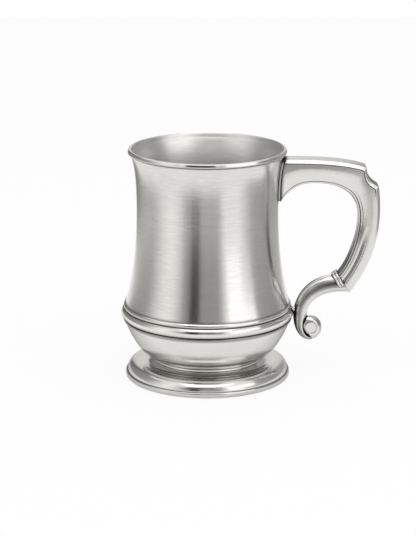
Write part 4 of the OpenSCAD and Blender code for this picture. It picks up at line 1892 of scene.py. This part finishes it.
        # Glowing grey cloth: painted light and shade in soft greys of many tones, which the metal shows as
        # its broad light and dark bands.
        made, tree = blank_material("glowing grey cloth")
        cloth = add(tree, "ShaderNodeAttribute", attribute_name="tone").outputs["Fac"]
        glow = add(tree, "ShaderNodeEmission", {"Color": (*tent.glow, 1.0), "Strength": cloth})
        add(tree, "ShaderNodeOutputMaterial", {"Surface": glow})
        mesh.materials.append(made)
        wall = bpy.data.objects.new("tent_wall", mesh)
        bpy.context.scene.collection.objects.link(wall)
        self.hide(wall)

    def build_flag(self) -> None:
        """Hang the black flag behind the lens.

        It draws the dark line along the reeds.
        """
        wide, high = (side / 2 for side in self.flag.size)
        mesh = bpy.data.meshes.new("black flag")
        corners = [(x, y, 0) for y in (-high, high) for x in (-wide, wide)]
        mesh.from_pydata(corners, [], [(0, 1, 3, 2)])
        # Black velvet: close to black from every side.
        made, tree = blank_material("black velvet")
        cloth = add(tree, "ShaderNodeBsdfDiffuse", {"Color": linear(self.flag.colour)})
        add(tree, "ShaderNodeOutputMaterial", {"Surface": cloth})
        mesh.materials.append(made)
        flag = bpy.data.objects.new("black_flag", mesh)
        self.hang(flag, self.flag)
        self.hide(flag)

    def build_lamp(self, lamp: Softbox) -> None:
        """Hang a softbox that faces the object.

        Args:
            lamp: The softbox.
        """
        light = bpy.data.lights.new(lamp.name, "AREA")
        light.shape = "RECTANGLE"
        light.size, light.size_y = lamp.size
        light.energy = lamp.watts
        stand = bpy.data.objects.new(lamp.name, light)
        stand.visible_camera = False
        self.hang(stand, lamp)

    def build_camera(self) -> None:
        """Set up the camera at the photograph's height and distance.

        Its focal length in pixels, over the rows of the photograph, gives the lens for the sensor's height.
        """
        data = bpy.data.cameras.new("camera")
        data.sensor_fit = "VERTICAL"
        data.sensor_height = 36.0
        data.lens = self.focal_px / PICTURE_ROWS * data.sensor_height
        camera = bpy.data.objects.new("camera", data)
        place = Vector(self.camera_at)
        camera.location = place
        camera.rotation_euler = facing(place, Vector(self.aim))
        bpy.context.scene.collection.objects.link(camera)
        bpy.context.scene.camera = camera

    def build(self) -> None:
        """Set up the whole studio.

        The view transform is Standard, so that the colours show as they are.
        """
        self.build_camera()
        self.build_world()
        self.build_floor()
        self.build_tent()
        self.build_flag()
        for lamp in self.lamps:
            self.build_lamp(lamp)
        bpy.context.scene.view_settings.view_transform = "Standard"


def main() -> None:
    """Build the studio and the pieces of the tankard in order.
    """
    logging.basicConfig(level=logging.INFO, format="%(name)s: %(message)s")
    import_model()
    Studio().build()
    # A soft grey sheen, which short fine rings and a grain break up.
    satin = TurnedPewter("spun satin pewter", roughness=0.19, grain_um=18.0).material()
    # A duller grey, in which reflections are only broad and soft.
    lining = TurnedPewter("scoured pewter lining", roughness=0.36, spread=0.5).material()
    # Clear light and dark reflections, with a trace of the rings.
    burnished = TurnedPewter(
        "burnished pewter",
        roughness=0.18,
        spread=0.35,
        ring_um=1.0,
        ring_tone=0.03,
    ).material()
    # The brightest gloss, so that the reeds and wires read as thin bright lines.
    bright = TurnedPewter(
        "bright turned pewter",
        tint="#E8E7E3",
        roughness=0.12,
        spread=0.2,
        ring_um=0.6,
        ring_tone=0.02,
        ring_gloss=0.02,
    ).material()
    # A bright line round the mouth, a little softened by use.
    rubbed = TurnedPewter(
        "rubbed pewter lip",
        roughness=0.16,
        spread=0.2,
        ring_um=1.0,
        ring_tone=0.03,
    ).material()
    # Bright crowns with slightly wavy reflections, and dark creases of painted shade and oxide.
    polished = CastPewter("hand polished cast pewter").material()
    lathe = Lathe()
    vessel = Vessel()
    barrel = vessel.barrel(lathe, satin, lining)
    vessel.mouth_bead(lathe, rubbed, lining)
    vessel.reeded_band(lathe, bright)
    vessel.bowl(lathe, burnished, lining)
    foot = Foot(vessel)
    foot.neck_wire(lathe, bright)
    foot.pedestal(lathe, burnished)
    foot.edge_ring(lathe, bright)
    handle = Handle(vessel)
    handle.seam_on(barrel.data)
    handle.pad(polished)
    handle.grip(polished)
    handle.double_ring(lathe, polished)
    handle.scroll(polished)
    handle.peg(polished)


if __name__ == "__main__":
    main()
